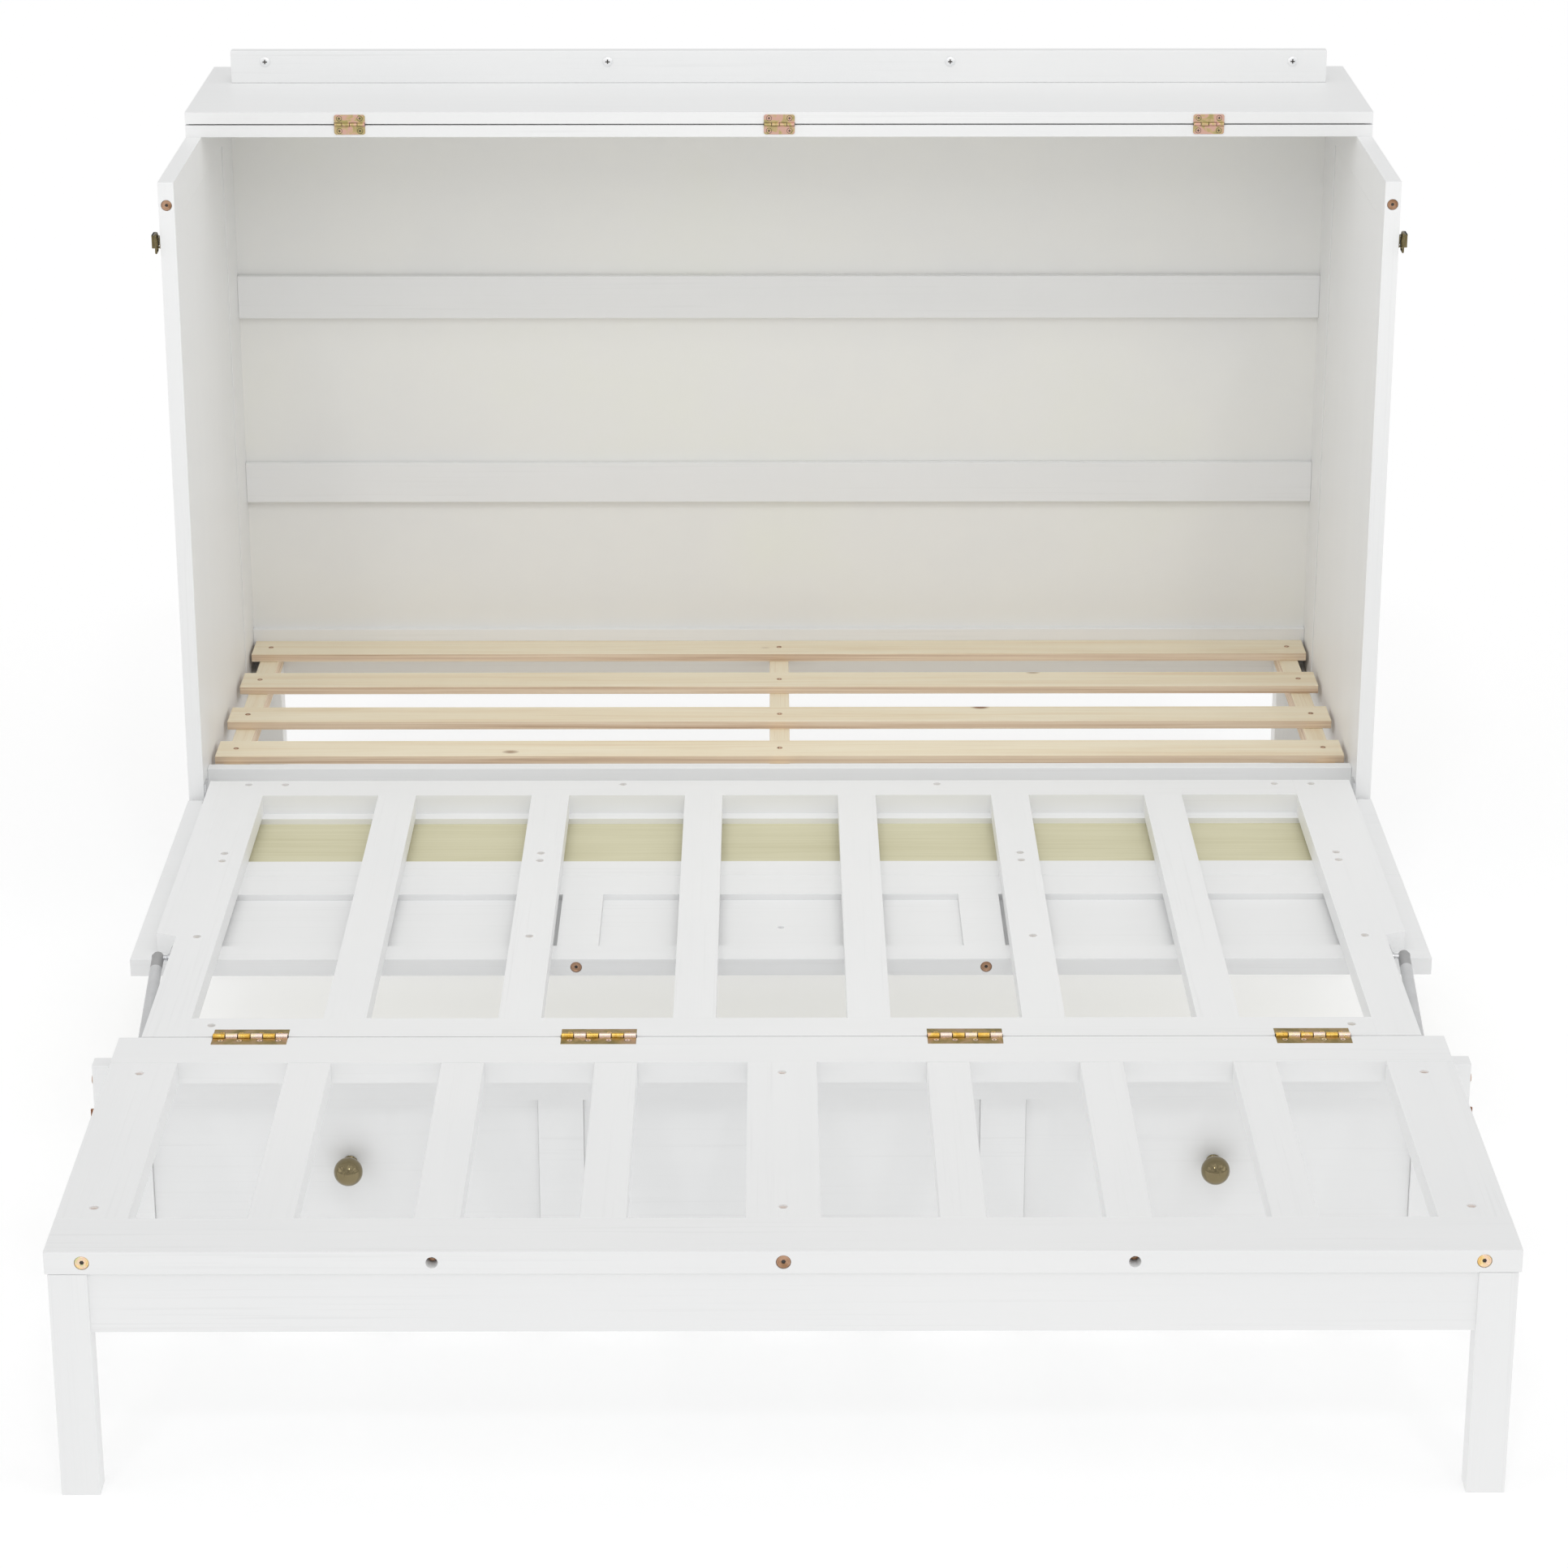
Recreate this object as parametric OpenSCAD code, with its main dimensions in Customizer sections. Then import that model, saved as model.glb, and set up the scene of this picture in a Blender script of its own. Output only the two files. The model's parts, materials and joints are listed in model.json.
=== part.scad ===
// Cabinet bed: a sideboard whose front folds down into a slatted double bed.
// Modelled open, as a bed. X runs across, Y from the foot of the bed to the wall, Z up.
// Every piece is drawn with Y measured from the foot, then moved so that the middle of
// the whole bed stands at the origin.

/* [Cabinet] */
// Width over the cabinet's sides
cabinet_w = 1618; // [1560:2:1700]
// Depth of the cabinet's sides
cabinet_d = 618; // [600:1:640]
// Height of the cabinet's sides
side_h = 1117.5; // [1117:0.5:1140]
// Thickness of the cabinet's sides
side_t = 21; // [18:1:24]
// Thickness of the top board and of the lid
top_t = 16; // [15:1:20]
// Depth of the top board, and of the lid that folds back over it
top_d = 330; // [320:1:340]
// Length of the batten on the lid
lid_batten_l = 1539; // [1400:1:1560]
// Height of the batten on the lid
lid_batten_h = 45; // [30:1:50]

/* [Slatted base] */
// Width of one pine slat
slat_w = 63; // [50:1:70]
// Thickness of one pine slat
slat_t = 12; // [10:1:15]
// Height of the slats' top face
slat_top = 291; // [285:1:295]

/* [Folding frames] */
// Whole length of the open bed
bed_l = 2050; // [2040:1:2060]
// Width of the folding frames
frame_w = 1556; // [1500:2:1556]
// Thickness of the folding frames
frame_t = 26; // [22:1:28]
// Height of the folding frames' top face
bed_h = 290; // [288:1:292]
// Width of the side stiles
stile_w = 78; // [60:1:80]
// Width of one bar
bar_w = 51; // [40:1:60]
// Bars on each side of the middle of the middle frame
mid_bars_each_side = 3; // [2:1:4]
// Bars on each side of the front frame's centre stile
front_bars_each_side = 3; // [2:1:4]

/* [Fascia and drop panel] */
// Thickness of the fascia under the middle frame
fascia_t = 22; // [20:2:22]
// Thickness of the drop panel
drop_t = 23; // [20:1:24]
// Diameter of a knob's ball
knob_d = 34; // [26:1:38]

/* [Legs] */
// Width of one leg, along X
leg_w = 42; // [36:1:50]
// Depth of one leg, along Y
leg_d = 30; // [24:1:34]
// Height of the apron between the legs
apron_h = 69; // [50:1:90]

/* [Hidden] */
$fn = 48;

// Shared clearances
fold_gap = 0.5;      // between pieces that meet when the bed is folded
running = 0.05;      // radial clearance of a pin in its bore
cut = 1;             // how far a cutter runs past a face

// Cabinet
half_w = cabinet_w / 2;
side_in = half_w - side_t;
side_front = bed_l - cabinet_d;
back_front = bed_l - 18;       // front face of the rails on the back
back_sheet_t = 5;
window_y0 = side_front + 70;   // the sides' framed opening
window_y1 = bed_l - 111;
window_z0 = 100;
window_z1 = side_h - 57.5;
infill_t = 9;
bolt_r = 7;

// Back rails: height of the lower edge and height of the rail
back_rail_list = [[507, 60], [786, 63], [side_h - 57.5, 57.5]];
bottom_rail = [238, 71];
back_rail_t = 12;

// Slatted base
slat_half = side_in - 4;
slat_ends = [bed_l - 525, bed_l - 382, bed_l - 229, bed_l - 81];
slat_rail_w = 28;
slat_rail_h = 25;
slat_rail_x = [-slat_half + 26, 0, slat_half - 26];
board_y = side_front + 43;     // front face of the board below the slats
board_t = 18;
post_w = 44;

// Lid and its hinge line
top_y = bed_l - top_d;
lid_axis_y = top_y - 1.5;
lid_axis_z = side_h + top_t + 1.25;
lid_z = lid_axis_z + 0.75;
lid_batten_y = bed_l - 122;
lid_batten_t = 18;
lid_hinge_x = [-585, 0, 585];
lid_hinge_l = 42;
lid_hinge_r = 2.5;
lid_screw_pitch = 481;

// Middle frame
frame_half = frame_w / 2;
frame_z = bed_h - frame_t;
joint_y = 560.5;               // the fold between the two frames
mid_y0 = joint_y + 1;
mid_y1 = side_front - 4;
mid_back_rail_w = 57;
mid_front_rail_w = 54;
stile_in = frame_half - stile_w;
notch_d = 26;
notch_y = mid_y0 + 316;
mid_bar_count = 2 * mid_bars_each_side;
mid_opening = (2 * stile_in - mid_bar_count * bar_w) / (mid_bar_count + 1);

// Fold hinges, let into the top faces of both frames
fold_axis_z = bed_h + 0.4;
fold_hinge_x = [-624, -215, 215, 624];
fold_hinge_l = 88.5;
fold_hinge_leaf = 22;
fold_hinge_t = 2.2;
fold_hinge_r = 4;

// Front frame
front_y1 = joint_y - 1;
inner_rail_w = 73;
outer_rail_w = 80;
centre_stile_w = 80;
front_bar_w = bar_w - 1;
front_opening = (stile_in - centre_stile_w / 2 - front_bars_each_side * front_bar_w)
    / (front_bars_each_side + 1);
rail_corner_r = 10;

// Fascia: two framed boards screwed under the middle frame
fascia_z = frame_z - fascia_t;
pivot_y = side_front - fold_gap - fascia_t / 2;
pivot_z = frame_z - fascia_t / 2;
pivot_r = 4;
pivot_plate_x = [side_in - 3, side_in];
pivot_plate_r = 9;
seam_y = joint_y + 580.5;      // between the two boards
panel_y0 = joint_y + 297.5;    // front edge of the front board
end_stile_w = 64;
inner_stile = [229, 281];
fascia_infill_t = 8;
fascia_infill_z = fascia_z + 6;
fascia_hinge_x = [side_in - 32, side_in - 1];
fascia_hinge_leaf = 10;

// The framed windows of a panel, from the middle outwards
function windows(stile) = [
    [-stile[0], stile[0]],
    [stile[1], half_w - end_stile_w],
    [end_stile_w - half_w, -stile[1]]
];

// Drop panel, which stands under the joint and carries the knobs
drop_axis_y = joint_y + 4;
drop_axis_z = frame_z - 0.5;
drop_y1 = drop_axis_y - 0.5;
drop_y0 = drop_y1 - drop_t;
drop_h = frame_z - 2;
drop_rail_h = 45;
drop_stile = [234, 287];
drop_infill_y = drop_y0 + 6;
drop_infill_t = 10;
drop_hinge_x = [-560, 0, 560];
knob_x = 511;
knob_z = 134;

// Small steel hinges of the drop panel and the legs
butt_l = 64;
butt_leaf = 24;
butt_t = 1.5;
butt_r = 2.6;
butt_pin_r = 1.25;

// Legs
leg_top = frame_z - fold_gap;
leg_half = frame_half - 3;
leg_axis_y = leg_d + fold_gap;
leg_hinge_x = [-480, 480];
apron_y = 3;

// Gas struts, one in each notch
strut_x = frame_half - 8;
strut_top = [mid_y0 + 270.5, bed_h - 13];
strut_foot = [drop_axis_y + 14, drop_axis_z - 73.5];
strut_run = strut_top - strut_foot;
strut_l = norm(strut_run);
strut_tilt = atan2(strut_run[1], strut_run[0]);
strut_r = 7.5;
strut_tube_l = 160;
strut_rod_r = 4;
strut_pin_r = 4;
strut_stroke = 74;
strut_eye_r = 5.5;
strut_eye_x = [strut_x - 6, strut_x + 6];
bracket_x = [frame_half - 24, frame_half - 17.5];

// Toggle latches on the sides and their strikes on the drop panel
latch_z = 1037;
latch_plate_t = 1.2;
ear_z = [5.4, 6.8];            // the base's ears, from the latch's middle
lever_axis = [half_w + 5, side_front + 4];
lever_t = 5;
lever_end = side_front + 30;
lever_cover = [3.5, 7.5];       // the lever's wide outer cover, out from its axis
lever_cover_h = 8.5;
bail_axis = [half_w + 5, side_front + 10];
bail_l = 17;
bail_r = 1.1;
bail_half = 12;
strike_y = side_front + 10 - bail_l + bail_r + fold_gap
    - (pivot_y - pivot_z + drop_axis_z - drop_axis_y);
strike_z = latch_z - (pivot_z + pivot_y - drop_axis_y - drop_axis_z);

// Holes in the frames' top faces, X from the middle and Y from the foot
mid_holes = [
    for (s = [-1, 1]) each [
        [724 * s, 1414], [674 * s, 1414], [214 * s, 1414],
        [726 * s, 1156], [726 * s, 1129], [313 * s, 1156], [313 * s, 1129],
        [726 * s, 871], [313 * s, 871], [674 * s, 595]
    ]
];
front_holes = [for (x = [-740, 0, 740]) each [[x, 458], [x, 107]]];
hole_r = 5;
hole_depth = 20;
hole_sink = 5;

// Heads on the front rail's front face
head_x = [-738, 0, 738];
deep_x = [-370, 370];
head_r = 7.8;

white = [0.93, 0.93, 0.93];
pine = [0.86, 0.74, 0.56];
zinc = [0.83, 0.68, 0.35];
brass = [0.42, 0.37, 0.24];
steel = [0.62, 0.64, 0.67];
ply = [0.75, 0.73, 0.56];

// Y is drawn from the foot of the bed
module placed() translate([0, -bed_l / 2, 0]) children();

// Two copies, mirrored across the middle
module both_sides() for (s = [0, 1]) mirror([s, 0, 0]) children();

// A box given by its low and high corners
module box(low, high) translate(low) cube(high - low);

// A cylinder along X, from x0 to x1
module rod_x(x0, x1, y, z, r) translate([x0, y, z]) rotate([0, 90, 0]) cylinder(r = r, h = x1 - x0);

// A cylinder along Y, from y0 to y1
module rod_y(x, y0, y1, z, r) translate([x, y0, z]) rotate([-90, 0, 0]) cylinder(r = r, h = y1 - y0);

// One half of a butt hinge: its axis is X, its leaf runs along +Y with its top face at lift
module hinge_leaf(len, count, first, r, pin_r, leaf, t, lift, bored) {
    pitch = len / count;
    play = 0.15;
    difference() {
        union() {
            translate([-len / 2, r + 0.5, lift - t]) cube([len, leaf - r - 0.5, t]);
            for (i = [first : 2 : count - 1]) translate([-len / 2 + i * pitch + play, 0, 0]) {
                rotate([0, 90, 0]) cylinder(r = r, h = pitch - 2 * play);
                translate([0, 0, lift - t]) cube([pitch - 2 * play, r + 0.6, t]);
            }
        }
        if (bored) rod_x(-len, len, 0, 0, pin_r + running);
    }
    if (!bored) rod_x(-len / 2, len / 2, 0, 0, pin_r);
}

// Room for a hinge's knuckles in the wood beside it
module knuckle_room(x, len, y, z, r) rod_x(x - len / 2 - 0.5, x + len / 2 + 0.5, y, z, r + 0.5);

// A board drawn in plan, with its two corners at the end y rounded
module round_end_board(x0, x1, y0, y1, z0, z1, r, y_end) {
    difference() {
        box([x0, y0, z0], [x1, y1, z1]);
        for (side = [[x0, 1], [x1, -1]]) {
            inward = (y_end == y0) ? 1 : -1;
            difference() {
                translate([side[0] - cut, y_end - cut, z0 - cut])
                    cube([2 * cut, 2 * cut, z1 - z0 + 2 * cut]);
                translate([side[0] + side[1] * r, y_end + inward * r, z0 - 2 * cut])
                    cylinder(r = r, h = z1 - z0 + 4 * cut);
            }
        }
    }
}

// ---- Cabinet ----

module side_frame() {
    color(white) difference() {
        box([side_in, side_front, 0], [half_w, bed_l, side_h]);
        box([side_in - cut, window_y0, window_z0], [half_w + cut, window_y1, window_z1]);
        rod_y(half_w - side_t / 2, side_front - cut, side_front + 8, side_h - 30.5, bolt_r + 0.2);
    }
}

module side_left() placed() mirror([1, 0, 0]) side_frame();
module side_right() placed() side_frame();

module side_infills() placed() both_sides() color(white)
    box([side_in + 1, window_y0, window_z0], [side_in + 1 + infill_t, window_y1 - 2, window_z1 - 1]);

module back_panel() placed() color([0.85, 0.85, 0.83])
    box([-side_in, back_front + back_rail_t, bottom_rail[0] + bottom_rail[1]],
        [side_in, back_front + back_rail_t + back_sheet_t, side_h]);

module back_rails() placed() color(white) {
    for (rail = back_rail_list)
        box([-side_in, back_front, rail[0]], [side_in, back_front + back_rail_t, rail[0] + rail[1]]);
    box([-side_in, back_front, bottom_rail[0]], [side_in, bed_l, bottom_rail[0] + bottom_rail[1]]);
}

module corner_posts() placed() both_sides() color(white) {
    box([side_in - post_w, board_y + board_t, 0],
        [side_in, board_y + board_t + post_w, slat_top - slat_t - slat_rail_h]);
    box([side_in - post_w, back_front - post_w, 0],
        [side_in, back_front, slat_top - slat_t - slat_rail_h]);
}

module top_board() placed() color(white) difference() {
    box([-half_w, top_y, side_h], [half_w, bed_l, side_h + top_t]);
    for (x = lid_hinge_x) knuckle_room(x, lid_hinge_l, lid_axis_y, lid_axis_z, lid_hinge_r);
}

module front_board() placed() color(white)
    box([-side_in, board_y, 0], [side_in, board_y + board_t, slat_top]);

module slats() placed() color(pine) for (y = slat_ends)
    box([-slat_half, y, slat_top - slat_t], [slat_half, y + slat_w, slat_top]);

module slat_rails() placed() color(pine) for (x = slat_rail_x)
    box([x - slat_rail_w / 2, board_y + board_t, slat_top - slat_t - slat_rail_h],
        [x + slat_rail_w / 2, back_front, slat_top - slat_t]);

module cabinet_screws() placed() color(zinc) {
    for (x = slat_rail_x, y = slat_ends) translate([x, y + slat_w / 2, slat_top])
        cylinder(r1 = 4, r2 = 3, h = 0.6);
    both_sides() rod_y(half_w - side_t / 2, side_front + 0.2, side_front + 8, side_h - 30.5, bolt_r);
}

// A steel plate screwed inside each side, with the pin that the folding bed turns on
module pivot_brackets() placed() both_sides() color(steel) {
    rod_x(pivot_plate_x[0], pivot_plate_x[1], pivot_y, pivot_z, pivot_plate_r);
    box([pivot_plate_x[0], pivot_y, pivot_z - pivot_plate_r],
        [pivot_plate_x[1], side_front + 2, pivot_z + pivot_plate_r]);
    box([pivot_plate_x[0], side_front + 1, pivot_z - 30],
        [pivot_plate_x[1], side_front + 27, pivot_z + 30]);
    rod_x(side_in - 16, side_in + 12, pivot_y, pivot_z, pivot_r);
}

module lid_hinge_fixed_leaves() placed() color(zinc) for (x = lid_hinge_x)
    translate([x, lid_axis_y, lid_axis_z]) rotate([-90, 0, 0])
        hinge_leaf(lid_hinge_l, 4, 0, lid_hinge_r, 1.25, 13.5, 1.2, 1.5, true);

// ---- Lid ----

module lid_board() placed() color(white) difference() {
    box([-half_w, top_y, lid_z], [half_w, bed_l, lid_z + top_t]);
    for (x = lid_hinge_x) knuckle_room(x, lid_hinge_l, lid_axis_y, lid_axis_z, lid_hinge_r);
}

module lid_batten() placed() color(white)
    box([-lid_batten_l / 2, lid_batten_y, lid_z + top_t],
        [lid_batten_l / 2, lid_batten_y + lid_batten_t, lid_z + top_t + lid_batten_h]);

module lid_batten_screws() placed() color(steel) for (i = [-1.5 : 1 : 1.5])
    rod_y(i * lid_screw_pitch, lid_batten_y - 1.2, lid_batten_y, lid_z + top_t + 30, 7);

module lid_hinge_moving_leaves() placed() color(zinc) for (x = lid_hinge_x)
    translate([x, lid_axis_y, lid_axis_z]) rotate([90, 0, 0])
        hinge_leaf(lid_hinge_l, 4, 1, lid_hinge_r, 1.25, 13.5, 1.2, -0.3, false);

// ---- Toggle latches ----

module latch_base() {
    box([half_w, side_front + 1, latch_z - 8], [half_w + latch_plate_t, side_front + 31, latch_z + 8]);
    for (s = [-1, 1]) {
        low = latch_z + (s > 0 ? ear_z[0] : -ear_z[1]);
        translate([lever_axis[0], lever_axis[1], low]) cylinder(r = 3, h = ear_z[1] - ear_z[0]);
        box([half_w + 1, lever_axis[1] - 3, low],
            [lever_axis[0], lever_axis[1] + 3, low + ear_z[1] - ear_z[0]]);
    }
    translate([lever_axis[0], lever_axis[1], latch_z - 7]) cylinder(r = 1, h = 14);
}

module latch_bases() placed() both_sides() color(brass) latch_base();

module latch_lever() color(brass) difference() {
    union() {
        translate([lever_axis[0], lever_axis[1], latch_z - 5]) cylinder(r = lever_t / 2, h = 10);
        box([lever_axis[0] - lever_t / 2, lever_axis[1], latch_z - 5],
            [lever_axis[0] + lever_t / 2, lever_end, latch_z + 5]);
        box([lever_axis[0], lever_axis[1] + 3, latch_z - 5],
            [lever_axis[0] + lever_cover[1], lever_end, latch_z + 5]);
        box([lever_axis[0] + lever_cover[0], lever_axis[1] + 3, latch_z - lever_cover_h],
            [lever_axis[0] + lever_cover[1], lever_end, latch_z + lever_cover_h]);
    }
    translate([lever_axis[0], lever_axis[1], latch_z - 6]) cylinder(r = 1 + running, h = 12);
    for (s = [-6, 3]) translate([bail_axis[0], bail_axis[1], latch_z + s])
        cylinder(r = bail_r + running, h = 3);
}

module latch_lever_left() placed() mirror([1, 0, 0]) latch_lever();
module latch_lever_right() placed() latch_lever();

// A bent wire: two legs, a crossbar, and two ends turned into the lever
module latch_bail() color(brass) translate([bail_axis[0], bail_axis[1], latch_z]) {
        for (s = [-1, 1]) {
            translate([0, 0, s * bail_half]) rotate([90, 0, 0]) cylinder(r = bail_r, h = bail_l);
            translate([0, 0, s * bail_half]) sphere(r = bail_r);
            translate([0, -bail_l, s * bail_half]) sphere(r = bail_r);
            translate([0, 0, s > 0 ? 3.2 : -bail_half]) cylinder(r = bail_r, h = bail_half - 3.2);
        }
        translate([0, -bail_l, -bail_half]) cylinder(r = bail_r, h = 2 * bail_half);
    }

module latch_bail_left() placed() mirror([1, 0, 0]) latch_bail();
module latch_bail_right() placed() latch_bail();

// ---- Middle frame ----

module top_holes(points) for (p = points)
    translate([p[0], p[1], bed_h - hole_depth]) cylinder(r = hole_r, h = hole_depth + cut);

module strut_notch_plan() polygon([
    [stile_in, mid_y0], [frame_half - notch_d, mid_y0], [frame_half - notch_d, notch_y - 6],
    [frame_half, notch_y + 6], [frame_half, mid_y1], [stile_in, mid_y1]
]);

module mid_stile() color(white) translate([0, 0, frame_z])
    linear_extrude(frame_t) strut_notch_plan();

module mid_stile_left() placed() difference() {
    mirror([1, 0, 0]) mid_stile();
    top_holes(mid_holes);
    fold_hinge_room();
}

module mid_stile_right() placed() difference() {
    mid_stile();
    top_holes(mid_holes);
    fold_hinge_room();
}

module fold_hinge_room() for (x = fold_hinge_x) {
    knuckle_room(x, fold_hinge_l, joint_y, fold_axis_z, fold_hinge_r);
    box([x - fold_hinge_l / 2, joint_y - fold_hinge_leaf, bed_h - fold_hinge_t],
        [x + fold_hinge_l / 2, joint_y + fold_hinge_leaf, bed_h + cut]);
}

module butt_room(xs, y, z) for (x = xs) {
    knuckle_room(x, butt_l, y, z, butt_r);
    box([x - butt_l / 2, y, frame_z - cut], [x + butt_l / 2, y + butt_leaf, frame_z + butt_t]);
}

module mid_back_rail() placed() color(white) difference() {
    box([-stile_in, mid_y1 - mid_back_rail_w, frame_z], [stile_in, mid_y1, bed_h]);
    top_holes(mid_holes);
}

module mid_front_rail() placed() color(white) difference() {
    box([-stile_in, mid_y0, frame_z], [stile_in, mid_y0 + mid_front_rail_w, bed_h]);
    top_holes(mid_holes);
    fold_hinge_room();
    butt_room(drop_hinge_x, drop_axis_y, drop_axis_z);
}

module mid_bars() placed() color(white) difference() {
    for (i = [1 : mid_bar_count]) {
        x = -stile_in + i * mid_opening + (i - 1) * bar_w;
        box([x, mid_y0 + mid_front_rail_w, frame_z], [x + bar_w, mid_y1 - mid_back_rail_w, bed_h]);
    }
    top_holes(mid_holes);
}

module mid_bolts() placed() color(zinc) {
    for (p = mid_holes) translate([p[0], p[1], bed_h - hole_depth])
        cylinder(r = hole_r - running, h = hole_depth - hole_sink);
    for (s = [-1, 1]) rod_y(s * (inner_stile[0] + inner_stile[1]) / 2,
        panel_y0 + 0.3, panel_y0 + 8, fascia_z + fascia_t / 2, bolt_r);
}

module fold_hinge_rear_leaves() placed() color(zinc) for (x = fold_hinge_x)
    translate([x, joint_y, fold_axis_z])
        hinge_leaf(fold_hinge_l, 6, 0, fold_hinge_r, 2, fold_hinge_leaf,
            fold_hinge_t, bed_h - fold_axis_z, true);

module strut_brackets_upper() placed() both_sides() color(steel) {
    box([frame_half - notch_d, strut_top[0] - 18, bed_h - 24],
        [frame_half - notch_d + 2, strut_top[0] + 18, bed_h - 3]);
    rod_x(frame_half - notch_d + 1, strut_x, strut_top[0], strut_top[1], strut_pin_r);
}

module drop_hinge_frame_leaves() placed() color(steel) for (x = drop_hinge_x)
    translate([x, drop_axis_y, drop_axis_z])
        hinge_leaf(butt_l, 5, 0, butt_r, butt_pin_r, butt_leaf, butt_t,
            frame_z + butt_t - drop_axis_z, true);

// ---- Fascia under the middle frame ----

// The rear edge is a half round on the pivot line, so it turns clear of the sides
module fascia_strip() placed() color(white) difference() {
    union() {
        box([-half_w, seam_y + 0.5, fascia_z], [half_w, pivot_y, frame_z]);
        rod_x(-half_w, half_w, pivot_y, pivot_z, fascia_t / 2);
    }
    box([end_stile_w - half_w, seam_y + 52, fascia_z - cut],
        [half_w - end_stile_w, seam_y + 210, frame_z + cut]);
    both_sides() {
        box([pivot_plate_x[0] - 0.5, pivot_y - pivot_plate_r - 1, fascia_z - cut],
            [pivot_plate_x[1] + 0.3, side_front, frame_z + cut]);
        rod_x(side_in - 16.5, side_in + 12.5, pivot_y, pivot_z, pivot_r + running);
        fascia_hinge_room();
    }
}

module fascia_strip_infill() placed() color(ply)
    box([end_stile_w - half_w, seam_y + 52, fascia_infill_z],
        [half_w - end_stile_w, seam_y + 210, fascia_infill_z + fascia_infill_t]);

module fascia_windows(z0, z1) for (w = windows(inner_stile))
    box([w[0], panel_y0 + 44, z0], [w[1], seam_y - 66, z1]);

module fascia_panel() placed() color(white) difference() {
    box([-half_w, panel_y0, fascia_z], [half_w, seam_y - 0.5, frame_z]);
    fascia_windows(fascia_z - cut, frame_z + cut);
    for (s = [-1, 1]) rod_y(s * (inner_stile[0] + inner_stile[1]) / 2,
        panel_y0 - cut, panel_y0 + 8, fascia_z + fascia_t / 2, bolt_r + 0.2);
    both_sides() fascia_hinge_room();
}

module fascia_panel_infills() placed() color(white) difference() {
    fascia_windows(fascia_infill_z, fascia_infill_z + fascia_infill_t);
    translate([0, (panel_y0 + seam_y) / 2 - 18, fascia_infill_z + 2]) cylinder(r = 4, h = 9);
}

module fascia_hinge_room() box([fascia_hinge_x[0], seam_y - fascia_hinge_leaf, frame_z - 3.6],
    [fascia_hinge_x[1], seam_y + fascia_hinge_leaf, frame_z + cut]);

module fascia_hinges() placed() both_sides() color(brass) {
    box([fascia_hinge_x[0], seam_y - fascia_hinge_leaf, frame_z - 3.6],
        [fascia_hinge_x[1], seam_y + fascia_hinge_leaf, frame_z - 2]);
    rod_x(fascia_hinge_x[0], fascia_hinge_x[1], seam_y, frame_z - 1.9, 1.7);
}

// ---- Front frame ----

module front_inner_rail() placed() color(white) difference() {
    round_end_board(-frame_half, frame_half, front_y1 - inner_rail_w, front_y1,
        frame_z, bed_h, rail_corner_r, front_y1 - inner_rail_w);
    fold_hinge_room();
}

module front_outer_rail() placed() color(white) difference() {
    round_end_board(-frame_half, frame_half, 0, outer_rail_w, frame_z, bed_h, rail_corner_r, 0);
    for (x = head_x) rod_y(x, -cut, 8, frame_z + frame_t / 2, head_r + 0.2);
    for (x = deep_x) rod_y(x, -cut, 22, frame_z + frame_t / 2, 6.5);
    butt_room(leg_hinge_x, leg_axis_y, frame_z);
}

module front_stile(x) box([x, outer_rail_w, frame_z],
    [x + stile_w, front_y1 - inner_rail_w, bed_h]);

module front_stile_left() placed() color(white) difference() {
    front_stile(-frame_half);
    top_holes(front_holes);
}

module front_stile_right() placed() color(white) difference() {
    front_stile(stile_in);
    top_holes(front_holes);
}

module front_centre_stile() placed() color(white) difference() {
    box([-centre_stile_w / 2, outer_rail_w, frame_z],
        [centre_stile_w / 2, front_y1 - inner_rail_w, bed_h]);
    top_holes(front_holes);
}

module front_bars() placed() color(white) both_sides() for (i = [1 : front_bars_each_side]) {
    x = centre_stile_w / 2 + i * front_opening + (i - 1) * front_bar_w;
    box([x, outer_rail_w, frame_z], [x + front_bar_w, front_y1 - inner_rail_w, bed_h]);
}

module front_bolts() placed() color(zinc) {
    for (p = front_holes) translate([p[0], p[1], bed_h - hole_depth])
        cylinder(r = hole_r - running, h = hole_depth - hole_sink);
    for (x = head_x) rod_y(x, 0.3, 8, frame_z + frame_t / 2, head_r);
    for (x = deep_x) rod_y(x, 14, 22, frame_z + frame_t / 2, 5);
}

module fold_hinge_front_leaves() placed() color(zinc) for (x = fold_hinge_x)
    translate([x, joint_y, fold_axis_z]) mirror([0, 1, 0])
        hinge_leaf(fold_hinge_l, 6, 1, fold_hinge_r, 2, fold_hinge_leaf,
            fold_hinge_t, bed_h - fold_axis_z, false);

module leg_hinge_frame_leaves() placed() color(steel) for (x = leg_hinge_x)
    translate([x, leg_axis_y, frame_z])
        hinge_leaf(butt_l, 5, 0, butt_r, butt_pin_r, butt_leaf, butt_t, butt_t, true);

// ---- Legs ----

module leg() color(white) box([leg_half - leg_w, 0, 0], [leg_half, leg_d, leg_top]);

module leg_left() placed() mirror([1, 0, 0]) leg();
module leg_right() placed() leg();

// Room on a rear face for the leaves that hang down from a hinge line
module hanging_room(xs, y, z, face) for (x = xs) {
    knuckle_room(x, butt_l, y, z, butt_r);
    box([x - butt_l / 2, face - butt_t, z - butt_leaf], [x + butt_l / 2, face + cut, z]);
}

module leg_apron() placed() color(white) difference() {
    box([leg_w - leg_half, apron_y, leg_top - apron_h], [leg_half - leg_w, leg_d, leg_top]);
    hanging_room(leg_hinge_x, leg_axis_y, frame_z, leg_d);
}

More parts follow.
